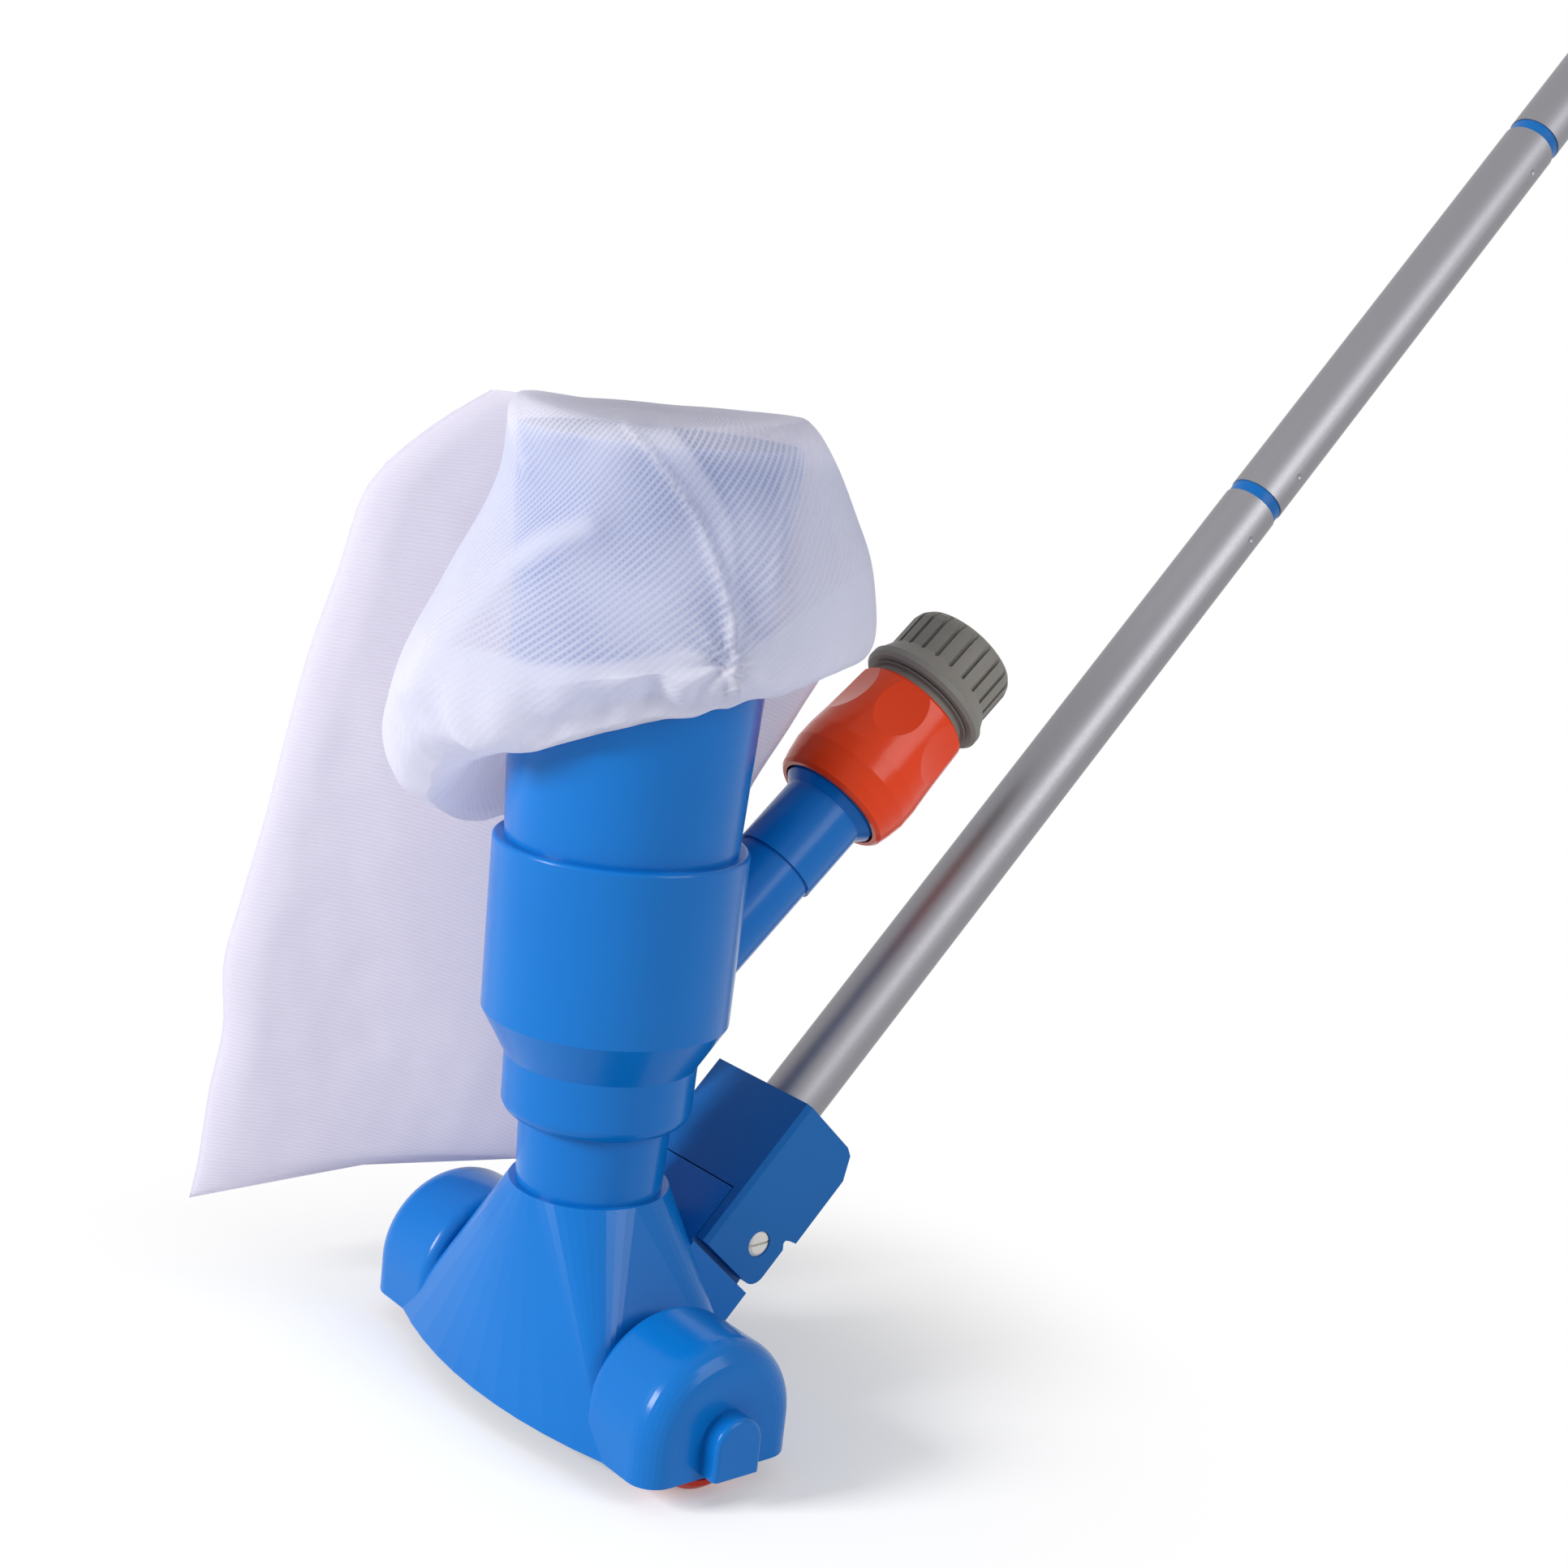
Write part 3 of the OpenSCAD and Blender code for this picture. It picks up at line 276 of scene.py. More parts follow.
class Finish(Enum):
    """Every finish on the object."""

    # Glossy ABS straight from a polished mould: clear highlights, saturated blue
    BLUE_ABS = MouldedPlastic("polished_blue_abs", "086EBF", "0765B4", 0.24, coat=0.07, mirror=0.15, grain_mm=1.2,
                              grain_depth=0.03)
    # Satin ABS of the pole socket: deeper blue, softer highlights
    SOCKET_ABS = MouldedPlastic("satin_deep_blue_abs", "0B66B0", "0A5EA6", 0.4, coat=0.05, mirror=0.16, grain_mm=0.7,
                                grain_depth=0.05)
    # Glossy polypropylene of the release sleeve: warm orange red
    SLEEVE_PP = MouldedPlastic("gloss_orange_polypropylene", "E8420F", "DE3A0C", 0.24, coat=0.1, mirror=0.16,
                               grain_mm=1.0, grain_depth=0.03, glow=0.04)
    # Moulded wheel, a shade redder and duller than the sleeve
    WHEEL_PP = MouldedPlastic("moulded_red_polypropylene", "D8331A", "C92C14", 0.42, grain_mm=0.8)
    # Spark-eroded grey plastic of the hose nut: matt, fine grain
    NUT_GREY = MouldedPlastic("matt_warm_grey_plastic", "85827D", "7D7A75", 0.5, mirror=0.2, grain_mm=0.5,
                             grain_depth=0.12)
    # Unfilled acetal: waxy off-white
    ACETAL = MouldedPlastic("waxy_white_acetal", "E8E6E0", "E0DDD5", 0.45, grain_mm=0.8, glow=0.1)
    # Nitrile rubber: near black, dull
    RUBBER = MouldedPlastic("moulded_nitrile_rubber", "22242A", "1C1E22", 0.6, grain_mm=0.4, grain_depth=0.1)
    # Satin anodised drawn tube: pale grey, fine lines along the pole
    POLE_ALUMINIUM = DrawnMetal("satin_anodised_aluminium", "8E8D92", 0.46, line_mm=0.5, lean=47)
    # Turned stainless steel
    STEEL = DrawnMetal("turned_stainless_steel", "D6D6D8", 0.3, line_mm=0.3)
    # Single netting over the outlet: open enough for the tube to show
    HOOD_NET = NettingCloth("open_polyester_netting", "F0EEF5", 1.7, 0.9, -47)
    # Netting of the hanging sack: the same cloth, hazier where its two layers lie on each other, with painted shade:
    # its threads are coloured greyer than the hood's to stand in for the shade that the sack hangs in
    SACK_NET = NettingCloth("layered_netting_painted_shade", "E5E2ED", 1.2, 0.25, 12)
    # Covered elastic
    ELASTIC = MouldedPlastic("braided_elastic_cover", "F0EFF5", "E4E2EC", 0.75, grain_mm=0.6, grain_depth=0.4)

    def material(self) -> bpy.types.Material:
        """Gives this finish's material, made once."""
        return bpy.data.materials.get(self.value.name) or self.value.build()


def dress(finish: Finish, *nodes: str) -> None:
    """Gives CAD nodes a finish.

    Args:
        finish: The finish.
        nodes: Names of the nodes.
    """
    for name in nodes:
        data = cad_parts[name].data
        data.materials.clear()
        data.materials.append(finish.material())
    LOG.info("dressed %s with %s", ", ".join(nodes), finish.value.name)


def finished_piece(bm: bmesh.types.BMesh, name: str, finish: Finish, body: str, place: Matrix) -> bpy.types.Object:
    """Turns a bmesh into a smooth object that stands at the origin and rides on a body.

    Args:
        bm: The shape, freed afterwards.
        name: The piece's name.
        finish: Its finish.
        body: The CAD body that it moves with.
        place: Where the shape goes, put into its mesh.

    Returns:
        The object.
    """
    bmesh.ops.recalc_face_normals(bm, faces=bm.faces)
    bmesh.ops.transform(bm, matrix=place, verts=bm.verts)
    for face in bm.faces:
        face.smooth = True
    mesh = bpy.data.meshes.new(name)
    bm.to_mesh(mesh)
    bm.free()
    mesh.materials.append(finish.material())
    piece = bpy.data.objects.new(name, mesh)
    bpy.context.scene.collection.objects.link(piece)
    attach(piece, body)
    LOG.info("made %s with %d faces", name, len(mesh.polygons))
    return piece


# ---------- rigid parts ----------


@dataclass
class SuctionHead:
    """Suction head with its wheels."""

    def build(self) -> None:
        """Dresses the head, wheels and axles."""
        dress(Finish.BLUE_ABS, "head_shell")
        dress(Finish.WHEEL_PP, "wheel_left", "wheel_right")
        dress(Finish.STEEL, "axle_left", "axle_right")


@dataclass
class JetColumn:
    """Suction tube, jet body and outlet tube."""

    def build(self) -> None:
        """Dresses the column and its seals."""
        dress(Finish.BLUE_ABS, "suction_tube", "jet_body", "outlet_tube")
        dress(Finish.NUT_GREY, "jet_ring")
        dress(Finish.RUBBER, "neck_o_ring", "outlet_o_ring")


@dataclass
class HoseConnector:
    """Tap adapter and quick connector."""

    def build(self) -> None:
        """Dresses the adapter, connector and nut."""
        dress(Finish.BLUE_ABS, "hose_adapter")
        dress(Finish.RUBBER, "adapter_washer", "nipple_o_ring")
        dress(Finish.SLEEVE_PP, "release_sleeve")
        dress(Finish.NUT_GREY, "connector_core", "hose_collet", "hose_nut")
        dress(Finish.ACETAL, "claw_ring")


@dataclass
class PoleAssembly:
    """Tilting socket and sectional pole."""

    def build(self) -> None:
        """Dresses the socket, pin and pole."""
        dress(Finish.SOCKET_ABS, "pole_socket")
        dress(Finish.ACETAL, "pivot_pin")
        dress(Finish.STEEL, "pin_clip")
        dress(Finish.POLE_ALUMINIUM, "pole_tube_1", "pole_tube_2", "pole_tube_3")
        dress(Finish.SOCKET_ABS, "pole_insert_1", "pole_insert_2", "pole_insert_3", "pole_plug_1", "pole_plug_2",
              "pole_end_cap")


# ---------- leaf bag ----------


def smooth_through(stops: Sequence[Sequence[float]], at: float) -> list[float]:
    """Reads a smooth curve through rows of values.

    Args:
        stops: Rows whose first value is the position, in rising order.
        at: Where to read.

    Returns:
        The row's other values at that position.
    """
    at = min(max(at, stops[0][0]), stops[-1][0])
    i = max(k for k in range(len(stops) - 1) if stops[k][0] <= at or k == 0)
    p0, p1, p2, p3 = (stops[min(max(i + k, 0), len(stops) - 1)] for k in (-1, 0, 1, 2))
    u = (at - p1[0]) / (p2[0] - p1[0])
    return [0.5 * (2 * b + (c - a) * u + (2 * a - 5 * b + 4 * c - d) * u * u + (3 * b - a - 3 * c + d) * u ** 3)
            for a, b, c, d in zip(p0[1:], p1[1:], p2[1:], p3[1:])]


def hump(x: float, centre: float, width: float) -> float:
    """Gives a smooth hump of height 1 that fades out within a width of its centre."""
    u = min(abs(x - centre) / width, 1.0)
    return (1 - u * u) ** 2


def crease(x: float, z: float, path: Sequence[Sequence[float]], width: float) -> float:
    """Gives 1 on a line along the cloth, fading out within about two widths of it.

    Args:
        x: Where to read, to the right.
        z: Where to read, up.
        path: Points of the line.
        width: Distance at which it has faded to about a third.

    Returns:
        The strength, from 0 to 1.
    """
    nearest = math.inf
    for (x0, z0), (x1, z1) in zip(path, path[1:]):
        dx, dz = x1 - x0, z1 - z0
        along = min(max(((x - x0) * dx + (z - z0) * dz) / (dx * dx + dz * dz), 0.0), 1.0)
        nearest = min(nearest, math.hypot(x - x0 - along * dx, z - z0 - along * dz))
    return math.exp(-(nearest / width) ** 2)


def step(value: float, low: float, high: float) -> float:
    """Gives a smooth step from 0 at low to 1 at high."""
    u = min(max((value - low) / (high - low), 0.0), 1.0)
    return u * u * (3 - 2 * u)


# Lines on the front of the hood, to the right and up in millimetres
RIDGE = ((-14, 246), (-24, 241), (-32, 235), (-42, 222), (-49, 212), (-56, 197))
LEFT_HOLLOW = ((-32, 241), (-24, 257), (-15, 271))
LOW_HOLLOW = ((-36, 225), (-20, 236), (0, 246), (14, 247))
PINCH = ((-41, 279), (-37, 268), (-33, 258))
RIGHT_FOLD = ((36, 272), (35, 256), (34, 236))
LUG = ((38, 273), (39, 266))
PUCKER = (25, 216)

# Station, drop, rise to the right, and reach beyond the outlet's mouth to the left, right and front
HOOD_RINGS = ((0.0, -7, 0.02, -33, -33, -33), (0.75, -7.4, 0.03, -7, -6, -7), (1.0, -4.5, 0.05, 1.5, 1.5, 1.2),
              (1.13, 10, 0.14, 3.6, 9, 2.5), (1.3, 27, 0.19, 13, 16, 5), (1.47, 43, 0.22, 22, 21.5, 7.5),
              (1.65, 59, 0.23, 27.5, 23.5, 9.5), (1.8, 70, 0.28, 29.5, 21.5, 9.5), (1.9, 78, 0.38, 24.5, 13, 7),
              (2.0, 82, 0.46, 15, 5, 3.2))
# Height, and how far right the seam runs there
SEAM = ((200, 27), (219, 26), (229, 24), (239, 20), (250, 14.5), (259, 7), (267, -0.5), (274, -10), (280, -24))
# Height, and how wide the seam's doubled band is there
SEAM_WIDTH = ((205, 8), (219, 7), (230, 4.5), (240, 5.5), (250, 9), (267, 12), (280, 15))
# Place to the right, and how far the front of the hem is drawn up there
HEM_WAVE = ((-38, 0), (-26, 4.8), (-9, 8), (3, 9.2), (8.5, 9.4), (12, 6.8), (15.5, 4.6), (19, 5.2), (22, 3.2),
            (26, 3.3), (31, 1.8), (38, 0))
# Place to the right, and how high the doubled hem reaches there
HEM_TOP = ((-50, 213), (-35, 213), (-23, 212), (-4, 214.5), (9, 218.5), (16, 220), (24, 216), (32, 223), (45, 234),
           (60, 243))
# Share of the height, height at the left and right edge, left and right reach, share of the thickness; the
# shares and heights in percent but for the first
SACK_ROWS = ((0.0, 0, 10, -125, -20, 20), (0.06, 5, 11, -123, 4, 45), (0.15, 14, 15, -121, 12, 70),
             (0.24, 22, 22, -118, 18, 90), (0.32, 30, 30, -119, 22, 100), (0.4, 38, 38, -115, 25, 100),
             (0.5, 49, 48, -109, 27.5, 100), (0.6, 58, 57, -105, 32, 100), (0.7, 68, 67, -100, 44, 100),
             (0.8, 78, 76, -93, 53, 95), (0.9, 88, 87, -86, 50, 80), (0.95, 95, 94, -70, 42, 65),
             (1.0, 100, 100, -53, 38, 30))


class Loft:
    """A cloth tube grown ring by ring from a small disc or an open hoop.

    Every vertex keeps its turn round the tube, its run along the tube and how closed its cloth is.
    """

    def __init__(self, sides: int, place: Callable[[float, float], Vector], start: float, closed: bool) -> None:
        """Starts the tube.

        Args:
            sides: Number of vertices round the tube.
            place: Gives the point at a turn from 0 to 1 and a station.
            start: The first station.
            closed: Whether the first ring is closed by a fan.
        """
        self.bm = bmesh.new()
        self.place = place
        self.turn = self.bm.verts.layers.float.new("turn")
        self.run = self.bm.verts.layers.float.new("run")
        self.cover = self.bm.verts.layers.float.new("cover")
        bmesh.ops.create_circle(self.bm, cap_ends=closed, cap_tris=closed, segments=sides, radius=1.0)
        self.bm.verts.ensure_lookup_table()
        middle = Vector()
        rim = [v for v in self.bm.verts if v.co.length > 0.5]
        for v in rim:
            v[self.turn] = (math.atan2(v.co.y, v.co.x) / (2 * math.pi)) % 1.0
        for v in rim:
            v.co = place(v[self.turn], start)
            middle += v.co / len(rim)
        for v in self.bm.verts:
            if v not in rim:
                v.co = middle
        self.edge = [e for e in self.bm.edges if all(v in rim for v in e.verts)]

    def grow(self, stations: Iterable[float]) -> None:
        """Extrudes the tube's open end through stations."""
        for s in stations:
            made = bmesh.ops.extrude_edge_only(self.bm, edges=self.edge)["geom"]
            fresh = {g for g in made if isinstance(g, bmesh.types.BMVert)}
            for v in fresh:
                target = self.place(v[self.turn], s)
                v[self.run] += (target - v.co).length
                v.co = target
            self.edge = [g for g in made if isinstance(g, bmesh.types.BMEdge) and all(v in fresh for v in g.verts)]

    def shade(self, cover: Callable[[Vector, float], float]) -> None:
        """Sets how closed the cloth is.

        Args:
            cover: Gives the share from a point and its turn.
        """
        for v in self.bm.verts:
            v[self.cover] = min(max(cover(v.co, v[self.turn]), 0.0), 1.0)

    def unroll(self, around: float, rise: Callable[[bmesh.types.BMVert], float] | None = None) -> None:
        """Writes the weave's UV map in metres.

        Args:
            around: The tube's girth in metres.
            rise: Gives a vertex's place along the tube, which is its run if this is left out.
        """
        uv = self.bm.loops.layers.uv.new("weave")
        for face in self.bm.faces:
            turns = [loop.vert[self.turn] for loop in face.loops]
            wraps = max(turns) - min(turns) > 0.5
            for loop, turn in zip(face.loops, turns):
                along = rise(loop.vert) if rise else loop.vert[self.run]
                loop[uv].uv = ((turn + (1 if wraps and turn < 0.5 else 0)) * around, along)


@dataclass
class LeafBag:
    """The netting bag: a hood gathered round the outlet tube and the flat sack that hangs behind it.

    Sizes are in millimetres, in the bag's own frame: X to the right, Y to the rear, Z up.

    Attributes:
        heading: Turn of the bag's frame about the body, in degrees.
        outlet_top: Height of the outlet tube's mouth.
        outlet_r: Radius of the outlet tube at its mouth.
        outlet_taper: How much smaller the outlet tube's radius is at its foot.
        outlet_length: Height from the outlet tube's foot to its mouth.
        top_rise: Height of the bag's top above the mouth.
        hem_drop: Depth of the hem's middle below the mouth.
        hem_slope: Rise of the hem to the right.
        hem_reach: How far right and left the hem reaches, for its slope and its dips.
        hem_gap: Distance of the hem from the tube.
        gathers: Number of gathers round the hem.
        foot: Height of the sack's lowest corner.
        thickness: Thickness of the sack's two layers with the air between them.
        sack_fold: Height of the crease that the sack was packed with.
        hood_weave: Girth that the weave of the hood is drawn for, in metres.
        sack_weave: Girth that the weave of the sack is drawn for, in metres.
    """

    heading: float = -40.6
    outlet_top: float = 268.0
    outlet_r: float = 38.5
    outlet_taper: float = 5.9
    outlet_length: float = 111.4
    top_rise: float = 7.0
    hem_drop: float = 73.0
    hem_slope: float = 0.34
    hem_reach: float = 35
    hem_gap: float = 1.9
    gathers: int = 31
    foot: float = 17.0
    thickness: float = 14.0
    sack_fold: float = 73.0
    hood_weave: float = 0.33
    sack_weave: float = 0.3

    def frame_turn(self) -> Matrix:
        """Gives the turn of the bag's frame."""
        return Matrix.Rotation(math.radians(self.heading), 4, "Z")

    def hood_point(self, turn: float, s: float) -> Vector:
        """Gives a point of the hood.

        Args:
            turn: Turn round the tube, with 0 at the rear.
            s: Station: 0 in the middle of the top, 1 at the top's edge, 2 at the lower fold, 3 at the hem.

        Returns:
            The point in metres.
        """
        a = 2 * math.pi * turn + math.pi / 2
        c, sn = math.cos(a), math.sin(a)
        drop, rise, left, right, front = smooth_through(HOOD_RINGS, min(s, 2.0))
        side = self.outlet_r + (right if c > 0 else left)
        depth = self.outlet_r + front
        x = side * c
        y = depth * sn if sn < 0 else min((depth + 4) * sn, self.outlet_r + 1.0)
        # the front of the fold is drawn up towards the hem, the rear left hangs lower
        heading = math.degrees(a) % 360
        lift = hump(s, 2.0, 0.7) * (9 * max(0.0, -sn) * (0.4 + 0.6 * hump(c, -0.45, 0.9))
                                    + 12 * hump(heading, 212, 32))
        hang = 17 * hump(s, 2.0, 0.6) * hump(heading, 132, 52)
        sag = 3.0 * (1 - abs(c)) * hump(s, 0.9, 0.6) - 3.0 * max(0.0, -c) ** 3 * hump(s, 1.0, 0.3)
        wave = 1.2 * self.hem_wave(x) * hump(s, 1.95, 0.32) if sn < 0 else 0.0
        z = self.outlet_top - drop + rise * x + lift - hang - sag + wave
        out = Vector((c, sn, 0))
        body = hump(s, 1.55, 0.55)
        folds = (1.0 * math.sin(5 * a + 4.2 * s) + 0.7 * math.sin(11 * a - 6.5 * s + 1.0)) * body
        gathers = 0.8 * math.sin(self.gathers * a + 3 * math.sin(2 * a)) * hump(s, 2.0, 0.45)
        crumple = 2.0 * noise.noise(Vector((x, y, z)) / 21) * (body + 0.4 * hump(s, 1.0, 0.3))
        point = Vector((x, y, z)) + out * (min(sn, 0) * -0.6 + 0.4) * (folds + gathers + crumple)
        point += out * step(-sn, 0.0, 0.4) * self.front_relief(x, z)
        if s > 2:
            point = point.lerp(self.hem_point(a), min(s - 2, 1.0) ** 0.8)
        return point * MM

    def front_relief(self, x: float, z: float) -> float:
        """Gives how far the folds and the seam on the hood's front stand out at a point, in millimetres."""
        across = x - self.seam_at(z)
        side, up = x - PUCKER[0], z - PUCKER[1]
        puckers = math.sin(9 * math.atan2(up, side)) * math.exp(-(side ** 2 + up ** 2) / 130)
        return (1.3 * math.exp(-(across / 1.3) ** 2) + 0.5 * self.seam_band(x, z) + 3.0 * crease(x, z, RIDGE, 5)
                - 1.4 * crease(x, z, LEFT_HOLLOW, 7) - 1.1 * crease(x, z, LOW_HOLLOW, 9)
                + 1.5 * crease(x, z, PINCH, 2.2) + 0.6 * crease(x, z, RIGHT_FOLD, 1.8) + 0.9 * puckers)

    def seam_at(self, z: float) -> float:
        """Gives how far right the seam runs at a height, in millimetres."""
        return smooth_through(SEAM, z)[0]

    def seam_band(self, x: float, z: float) -> float:
        """Says how far a point of the front lies in the seam's doubled band, from 0 to 1."""
        across = x - self.seam_at(z)
        wide = smooth_through(SEAM_WIDTH, z)[0]
        return step(across, -0.8, 0.4) * (1 - step(across, wide - 1.5, wide + 1.5))

    def hem_wave(self, x: float) -> float:
        """Gives how far the front of the hem is drawn up, with dips where it is gathered, in millimetres."""
        return smooth_through(HEM_WAVE, x)[0]

    def hem_point(self, a: float) -> Vector:
        """Gives a point of the hem at an angle, in millimetres."""
        mean = self.outlet_top - self.hem_drop
        x = self.hem_reach * math.cos(a)
        z = mean + self.hem_slope * x
        if math.sin(a) < 0:
            z += self.hem_wave(x)
        r = self.tube_radius(z) + self.hem_gap + 0.5 * math.sin(self.gathers * a)
        return Vector((r * math.cos(a), r * math.sin(a), z))

    def tube_radius(self, z: float) -> float:
        """Gives the outlet tube's radius at a height, in millimetres."""
        return self.outlet_r - self.outlet_taper * (self.outlet_top - z) / self.outlet_length

    def hood_cover(self, point: Vector, _turn: float) -> float:
        """Says how closed the hood's cloth is at a point.

        Args:
            point: The point in metres.
            _turn: Its turn, which is not used here; only the sack needs it.

        Returns:
            From 0, open netting, to 1, closed.
        """
        x, y, z = point / MM
        haze = 0.6 + 0.28 * noise.noise(Vector((x, y, z)) / 17)
        crown = 0.68 * step(z, self.outlet_top + 2.5, self.outlet_top + 5.5)
        if y > 6:
            return max(haze + 0.3 * (1 - step(z, 195, 220)), crown)
        window = step(x - self.seam_at(z), 4, 12) * (1 - step(x, 29, 33)) * step(z, 217, 232)
        lug = crease(x, z, LUG, 2.3)
        open_share = max(crease(x, z, LEFT_HOLLOW, 8), 0.9 * crease(x, z, LOW_HOLLOW, 9), 0.9 * window, lug)
        flap = 0.12 * (1 - step(x + 0.45 * (z - 225), -52, -40))
        hem_top = smooth_through(HEM_TOP, x)[0]
        hem = 0.97 * (1 - step(z, hem_top - 3, hem_top + 3))
        stitch = 0.95 * math.exp(-((x - self.seam_at(z)) / 1.2) ** 2) * step(z, 216, 222)
        ridges = max(0.95 * crease(x, z, RIDGE, 5.5), 0.85 * crease(x, z, PINCH, 2.5))
        veil = (0.66 + 0.2 * step(x, 38, 42)) * step(x, 31, 34) * (1 - lug)
        return max(haze - 0.56 * open_share, haze + flap, crown, hem, stitch, ridges, veil, 0.78 * self.seam_band(x, z))

    def hood_rise(self, vert: bmesh.types.BMVert) -> float:
        """Gives how high a vertex lies along the hood's cloth, in metres, with a little waviness."""
        over_top = max(0.0, self.outlet_r - 2 - math.hypot(vert.co.x, vert.co.y) / MM)
        return vert.co.z + (over_top + 1.6 * noise.noise(vert.co / (38 * MM))) * MM

    def build_hood(self) -> bpy.types.Object:
        """Makes the hood and returns it."""
        loft = Loft(264, self.hood_point, 0.0, closed=True)
        loft.grow([0.25, 0.5, 0.7, 0.8, 0.87, 0.93, 0.97, 1.0] + [1 + k / 64 for k in range(1, 65)]
                  + [2.06, 2.15, 2.3, 2.5, 2.75, 3.0])
        loft.shade(self.hood_cover)
        loft.unroll(self.hood_weave, self.hood_rise)
        piece = finished_piece(loft.bm, "bag_hood_netting", Finish.HOOD_NET, "head", self.frame_turn())
        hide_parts("bag_hood")
        return piece

    def sack_point(self, turn: float, s: float) -> Vector:
        """Gives a point of the sack.

        Args:
            turn: Turn round the flat tube: the front layer to 0.5 from left to right, then the rear layer back.
            s: Share of the sack's height, from its foot.

        Returns:
            The point in metres.
        """
        low, high, left, right, share = smooth_through(SACK_ROWS, s)
        front = turn < 0.5
        u = 2 * turn if front else 2 - 2 * turn
        width = right - left
        x = left + width * u
        length = self.outlet_top + self.top_rise - 3 - self.foot
        rise = low + (high - low) * (1 - (1 - u) ** 2)
        z = self.foot + length * rise / 100
        swell = min(1.0, 3.6 * math.sqrt(max(u * (1 - u), 0)))
        half = self.thickness * share / 200
        middle = self.outlet_r + 2 + self.thickness / 2
        folds = 2.2 * math.sin(x / 13 + z / 55) * hump(s, 0.45, 0.6) + 1.5 * noise.noise(Vector((x, 0, z)) / 34)
        ripple = 0.6 * noise.noise(Vector((x, 40 if front else 80, z)) / 9)
        y = middle + (-half if front else half) * swell + (0.45 * folds + ripple) * swell * share / 100
        y = min(max(y, self.outlet_r + 1.8), self.outlet_r + 1.7 + self.thickness)
        return Vector((x, y, z)) * MM

    def sack_cover(self, point: Vector, turn: float) -> float:
        """Says how closed the sack's cloth is at a point, from its place and turn."""
        x, _, z = point / MM
        edge = 1 - min(min(turn % 0.5, 0.5 - turn % 0.5) * 22, 1)
        fold = 0.85 * math.exp(-((z - self.sack_fold - 0.03 * x) / 1.1) ** 2)
        lower = 0.12 * (1 - step(z, self.sack_fold - 6, self.sack_fold))
        return max(0.55 + 0.35 * noise.noise(Vector((x / 2.2, 0, z)) / 24) - lower, 0.9 * edge, fold)

    def build_sack(self) -> bpy.types.Object:
        """Makes the sack and returns it."""
        loft = Loft(112, self.sack_point, 0.0, closed=True)
        loft.grow([k / 60 for k in range(1, 61)])
        loft.shade(self.sack_cover)
        loft.unroll(self.sack_weave)
        # the sack's netting carries painted shade: its thread colour is greyer than the hood's same cloth
        piece = finished_piece(loft.bm, "bag_sack_netting", Finish.SACK_NET, "head", self.frame_turn())
        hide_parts("bag_sack")
        return piece

    def build(self) -> None:
        hood = self.build_hood()
        sack = self.build_sack()
        for piece in (hood, sack):
            area = sum(p.area for p in piece.data.polygons)
            LOG.info("%s has %.4f m2 of cloth", piece.name, area)
        dress(Finish.ELASTIC, "bag_elastic")


# ---------- stage ----------


# The camera: where it stands in metres, its axes before the roll, and its roll in degrees
CAMERA_PLACE = (-0.3795, -0.5074, 0.3119)
CAMERA_BACK = (-0.6371, -0.7421, 0.2081)
CAMERA_RIGHT = (0.7587, -0.6514, 0.0)
CAMERA_ROLL = 6.45
LENS_MM = 54.16
SENSOR_MM = 36.0


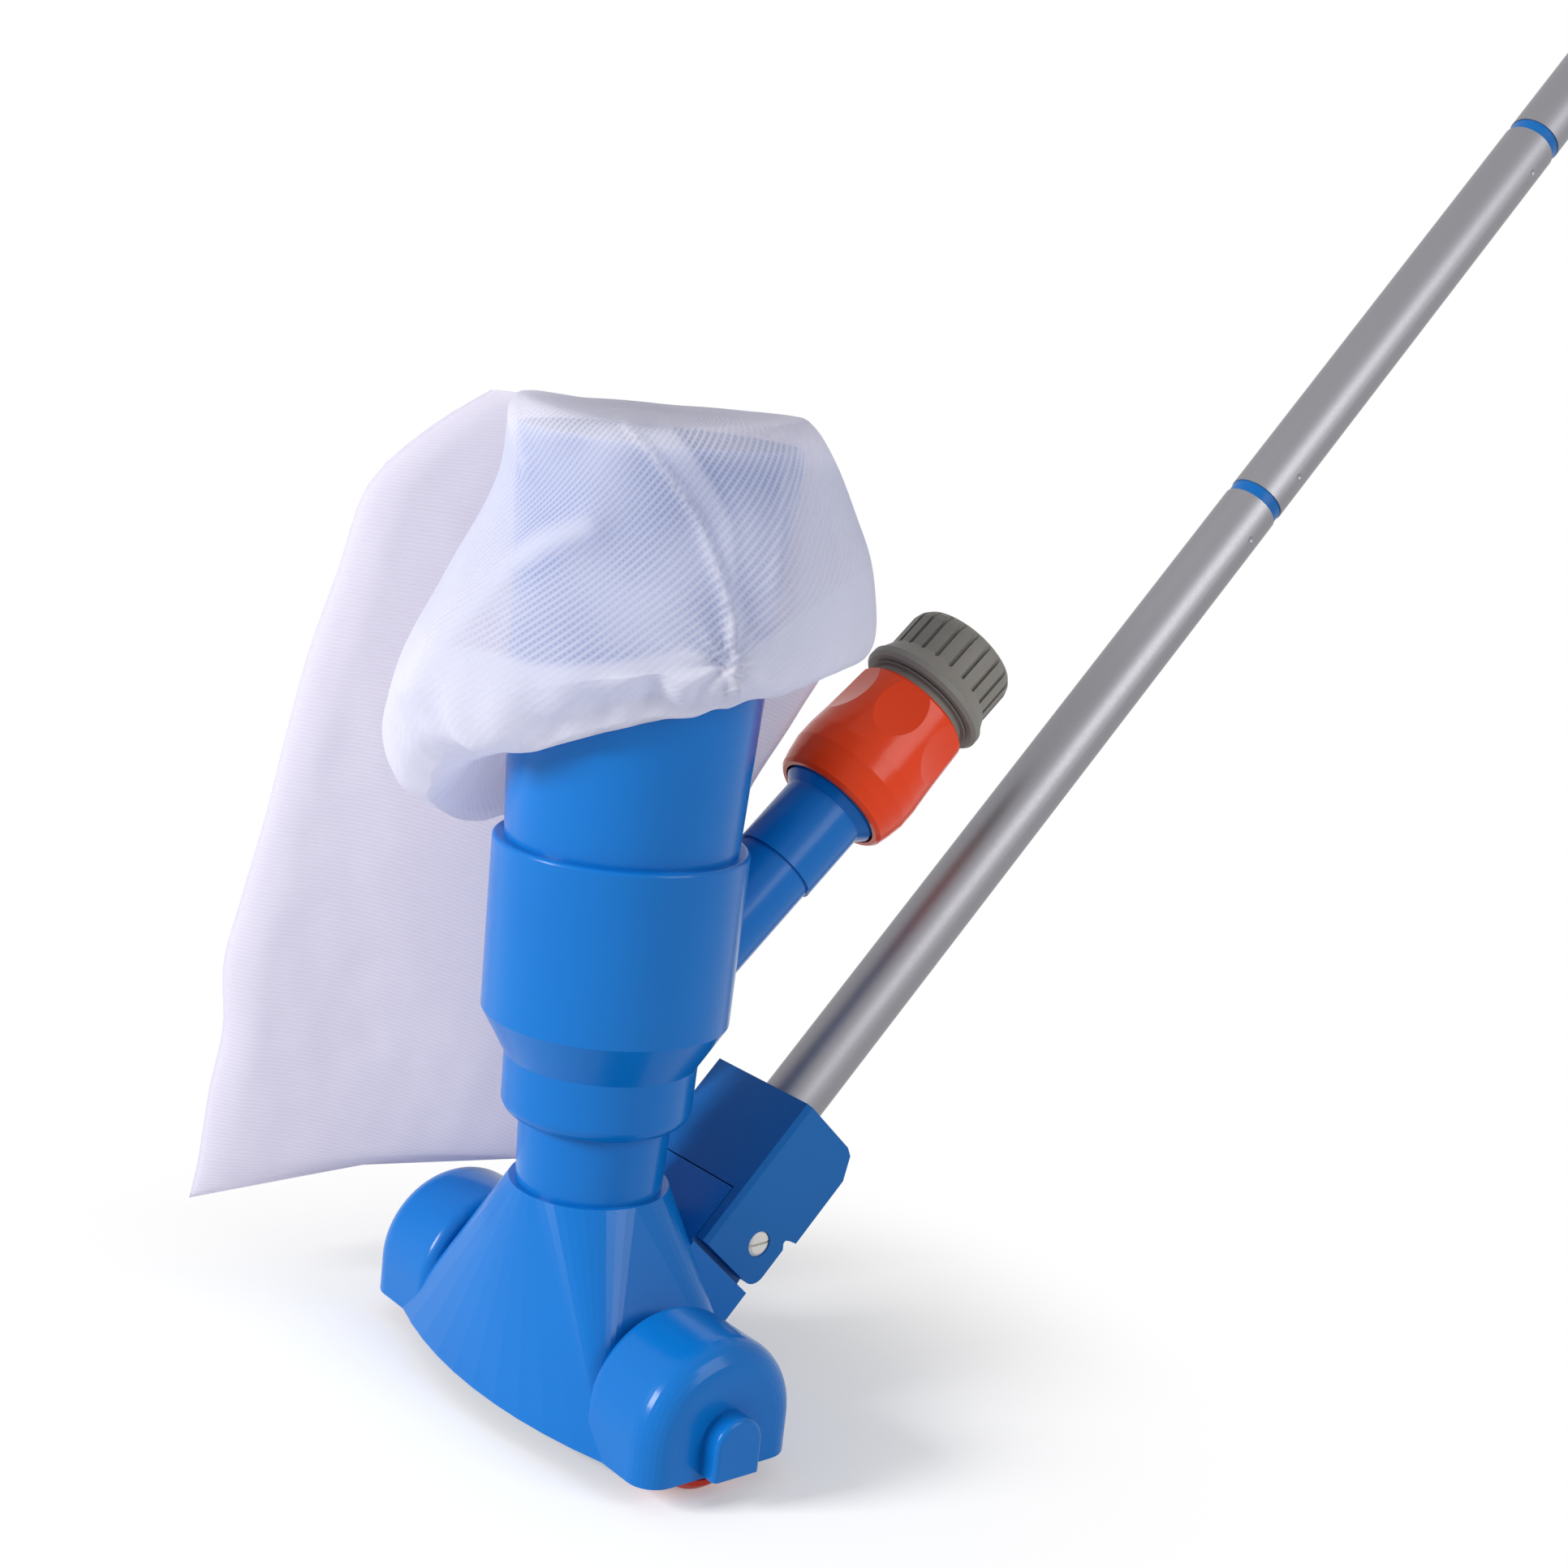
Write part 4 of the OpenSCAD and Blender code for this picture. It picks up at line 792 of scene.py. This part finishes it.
@dataclass
class Studio:
    """White floor and background, soft lamps and the camera.

    Attributes:
        floor_z: Height of the floor, where the wheels stand, in metres.
        shaded_reach: How far from the object the floor shows its full shadow, in metres.
        clean_reach: Where the floor has faded into the white background, in metres.
        floor_half: Half the floor's side, in metres.
        floor_glow: How much the floor glows by itself where it is looked at.
        room_light: Strength of the room's even light on the object.
    """

    floor_z: float
    shaded_reach: float = 0.08
    clean_reach: float = 0.21
    floor_half: float = 6.0
    floor_glow: float = 0.22
    room_light: float = 0.37

    def build_floor(self) -> None:
        """Lays a pale floor that keeps the object's shadow."""
        bm = bmesh.new()
        bmesh.ops.create_grid(bm, x_segments=1, y_segments=1, size=self.floor_half)
        bmesh.ops.translate(bm, verts=bm.verts, vec=(0, 0, self.floor_z))
        mesh = bpy.data.meshes.new("studio_floor")
        bm.to_mesh(mesh)
        bm.free()
        material, tree, out = empty_material("pale_studio_floor")
        seen = directly_seen(tree)
        level = add_node(tree, "Math", {0: seen, 1: self.floor_glow}, operation="MULTIPLY")
        paint = add_node(tree, "BsdfDiffuse", {"Color": (0.82, 0.82, 0.82, 1)})
        glow = add_node(tree, "Emission", {"Color": (1, 1, 1, 1), "Strength": level.outputs[0]})
        both = add_node(tree, "AddShader", {0: paint.outputs[0], 1: glow.outputs[0]})
        place = add_node(tree, "TexCoord")
        reach = add_node(tree, "VectorMath", {0: place.outputs["Object"]}, operation="LENGTH")
        far = add_node(tree, "MapRange", {"Value": reach.outputs["Value"], 1: self.shaded_reach,
                                          2: self.clean_reach}, interpolation_type="SMOOTHSTEP")
        fade = add_node(tree, "Math", {0: far.outputs[0], 1: seen}, operation="MULTIPLY")
        white = add_node(tree, "Emission", {"Color": (1, 1, 1, 1), "Strength": 1.0})
        shown = add_node(tree, "MixShader", {0: fade.outputs[0], 1: both.outputs[0], 2: white.outputs[0]})
        tree.links.new(shown.outputs[0], out.inputs["Surface"])
        mesh.materials.append(material)
        floor = bpy.data.objects.new("studio_floor", mesh)
        bpy.context.scene.collection.objects.link(floor)

    def build_world(self) -> None:
        """Makes an even studio room that is white behind the object."""
        world = bpy.data.worlds.new("studio_room")
        bpy.context.scene.world = world
        world.use_nodes = True
        tree = world.node_tree
        tree.nodes.clear()
        level = add_node(tree, "MapRange", {"Value": directly_seen(tree), 3: self.room_light, 4: 1.0})
        room = add_node(tree, "Background", {"Color": (1, 1, 1, 1), "Strength": level.outputs[0]})
        out = add_node(tree, "OutputWorld")
        tree.links.new(room.outputs[0], out.inputs["Surface"])

    def add_lamp(self, name: str, place: Sequence[float], target: Sequence[float], size: float, power: float) -> None:
        """Hangs a soft square lamp.

        Args:
            name: The lamp's name.
            place: Where it hangs, in metres.
            target: Where it points.
            size: Its side in metres.
            power: Its power in watts.
        """
        data = bpy.data.lights.new(name, "AREA")
        data.size = size
        data.energy = power
        lamp = bpy.data.objects.new(name, data)
        lamp.location = place
        lamp.rotation_euler = (Vector(place) - Vector(target)).to_track_quat("Z", "Y").to_euler()
        bpy.context.scene.collection.objects.link(lamp)

    def build_camera(self) -> None:
        """Sets the camera, in front of the object and a little above it."""
        data = bpy.data.cameras.new("camera")
        data.lens = LENS_MM
        data.sensor_width = SENSOR_MM
        data.clip_start = 0.01
        data.clip_end = 50.0
        camera = bpy.data.objects.new("camera", data)
        back = Vector(CAMERA_BACK).normalized()
        right = Vector(CAMERA_RIGHT).normalized()
        up = back.cross(right)
        roll = math.radians(CAMERA_ROLL)
        x = right * math.cos(roll) + up * math.sin(roll)
        y = up * math.cos(roll) - right * math.sin(roll)
        turn = Matrix((x, y, back)).transposed().to_4x4()
        camera.matrix_world = Matrix.Translation(CAMERA_PLACE) @ turn
        bpy.context.scene.collection.objects.link(camera)
        bpy.context.scene.camera = camera

    def build(self) -> None:
        """Builds the stage."""
        self.build_floor()
        self.build_world()
        self.add_lamp("key_lamp", (-1.55, 0.4, 0.8), (0, 0, 0.12), 0.55, 31.0)
        self.add_lamp("front_lamp", (0.45, -1.35, 0.85), (0.2, 0, 0.25), 0.8, 9.5)
        self.build_camera()
        bpy.context.scene.view_settings.view_transform = "Standard"


def main() -> None:
    """Builds the stage and dresses the object, sub-assembly by sub-assembly."""
    logging.basicConfig(level=logging.INFO, format="%(name)s: %(message)s")
    floor_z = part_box("wheel_left")[0].z
    Studio(floor_z).build()
    for part in (SuctionHead(), JetColumn(), HoseConnector(), PoleAssembly(), LeafBag()):
        part.build()
        LOG.info("finished %s", type(part).__name__)


if __name__ == "__main__":
    main()
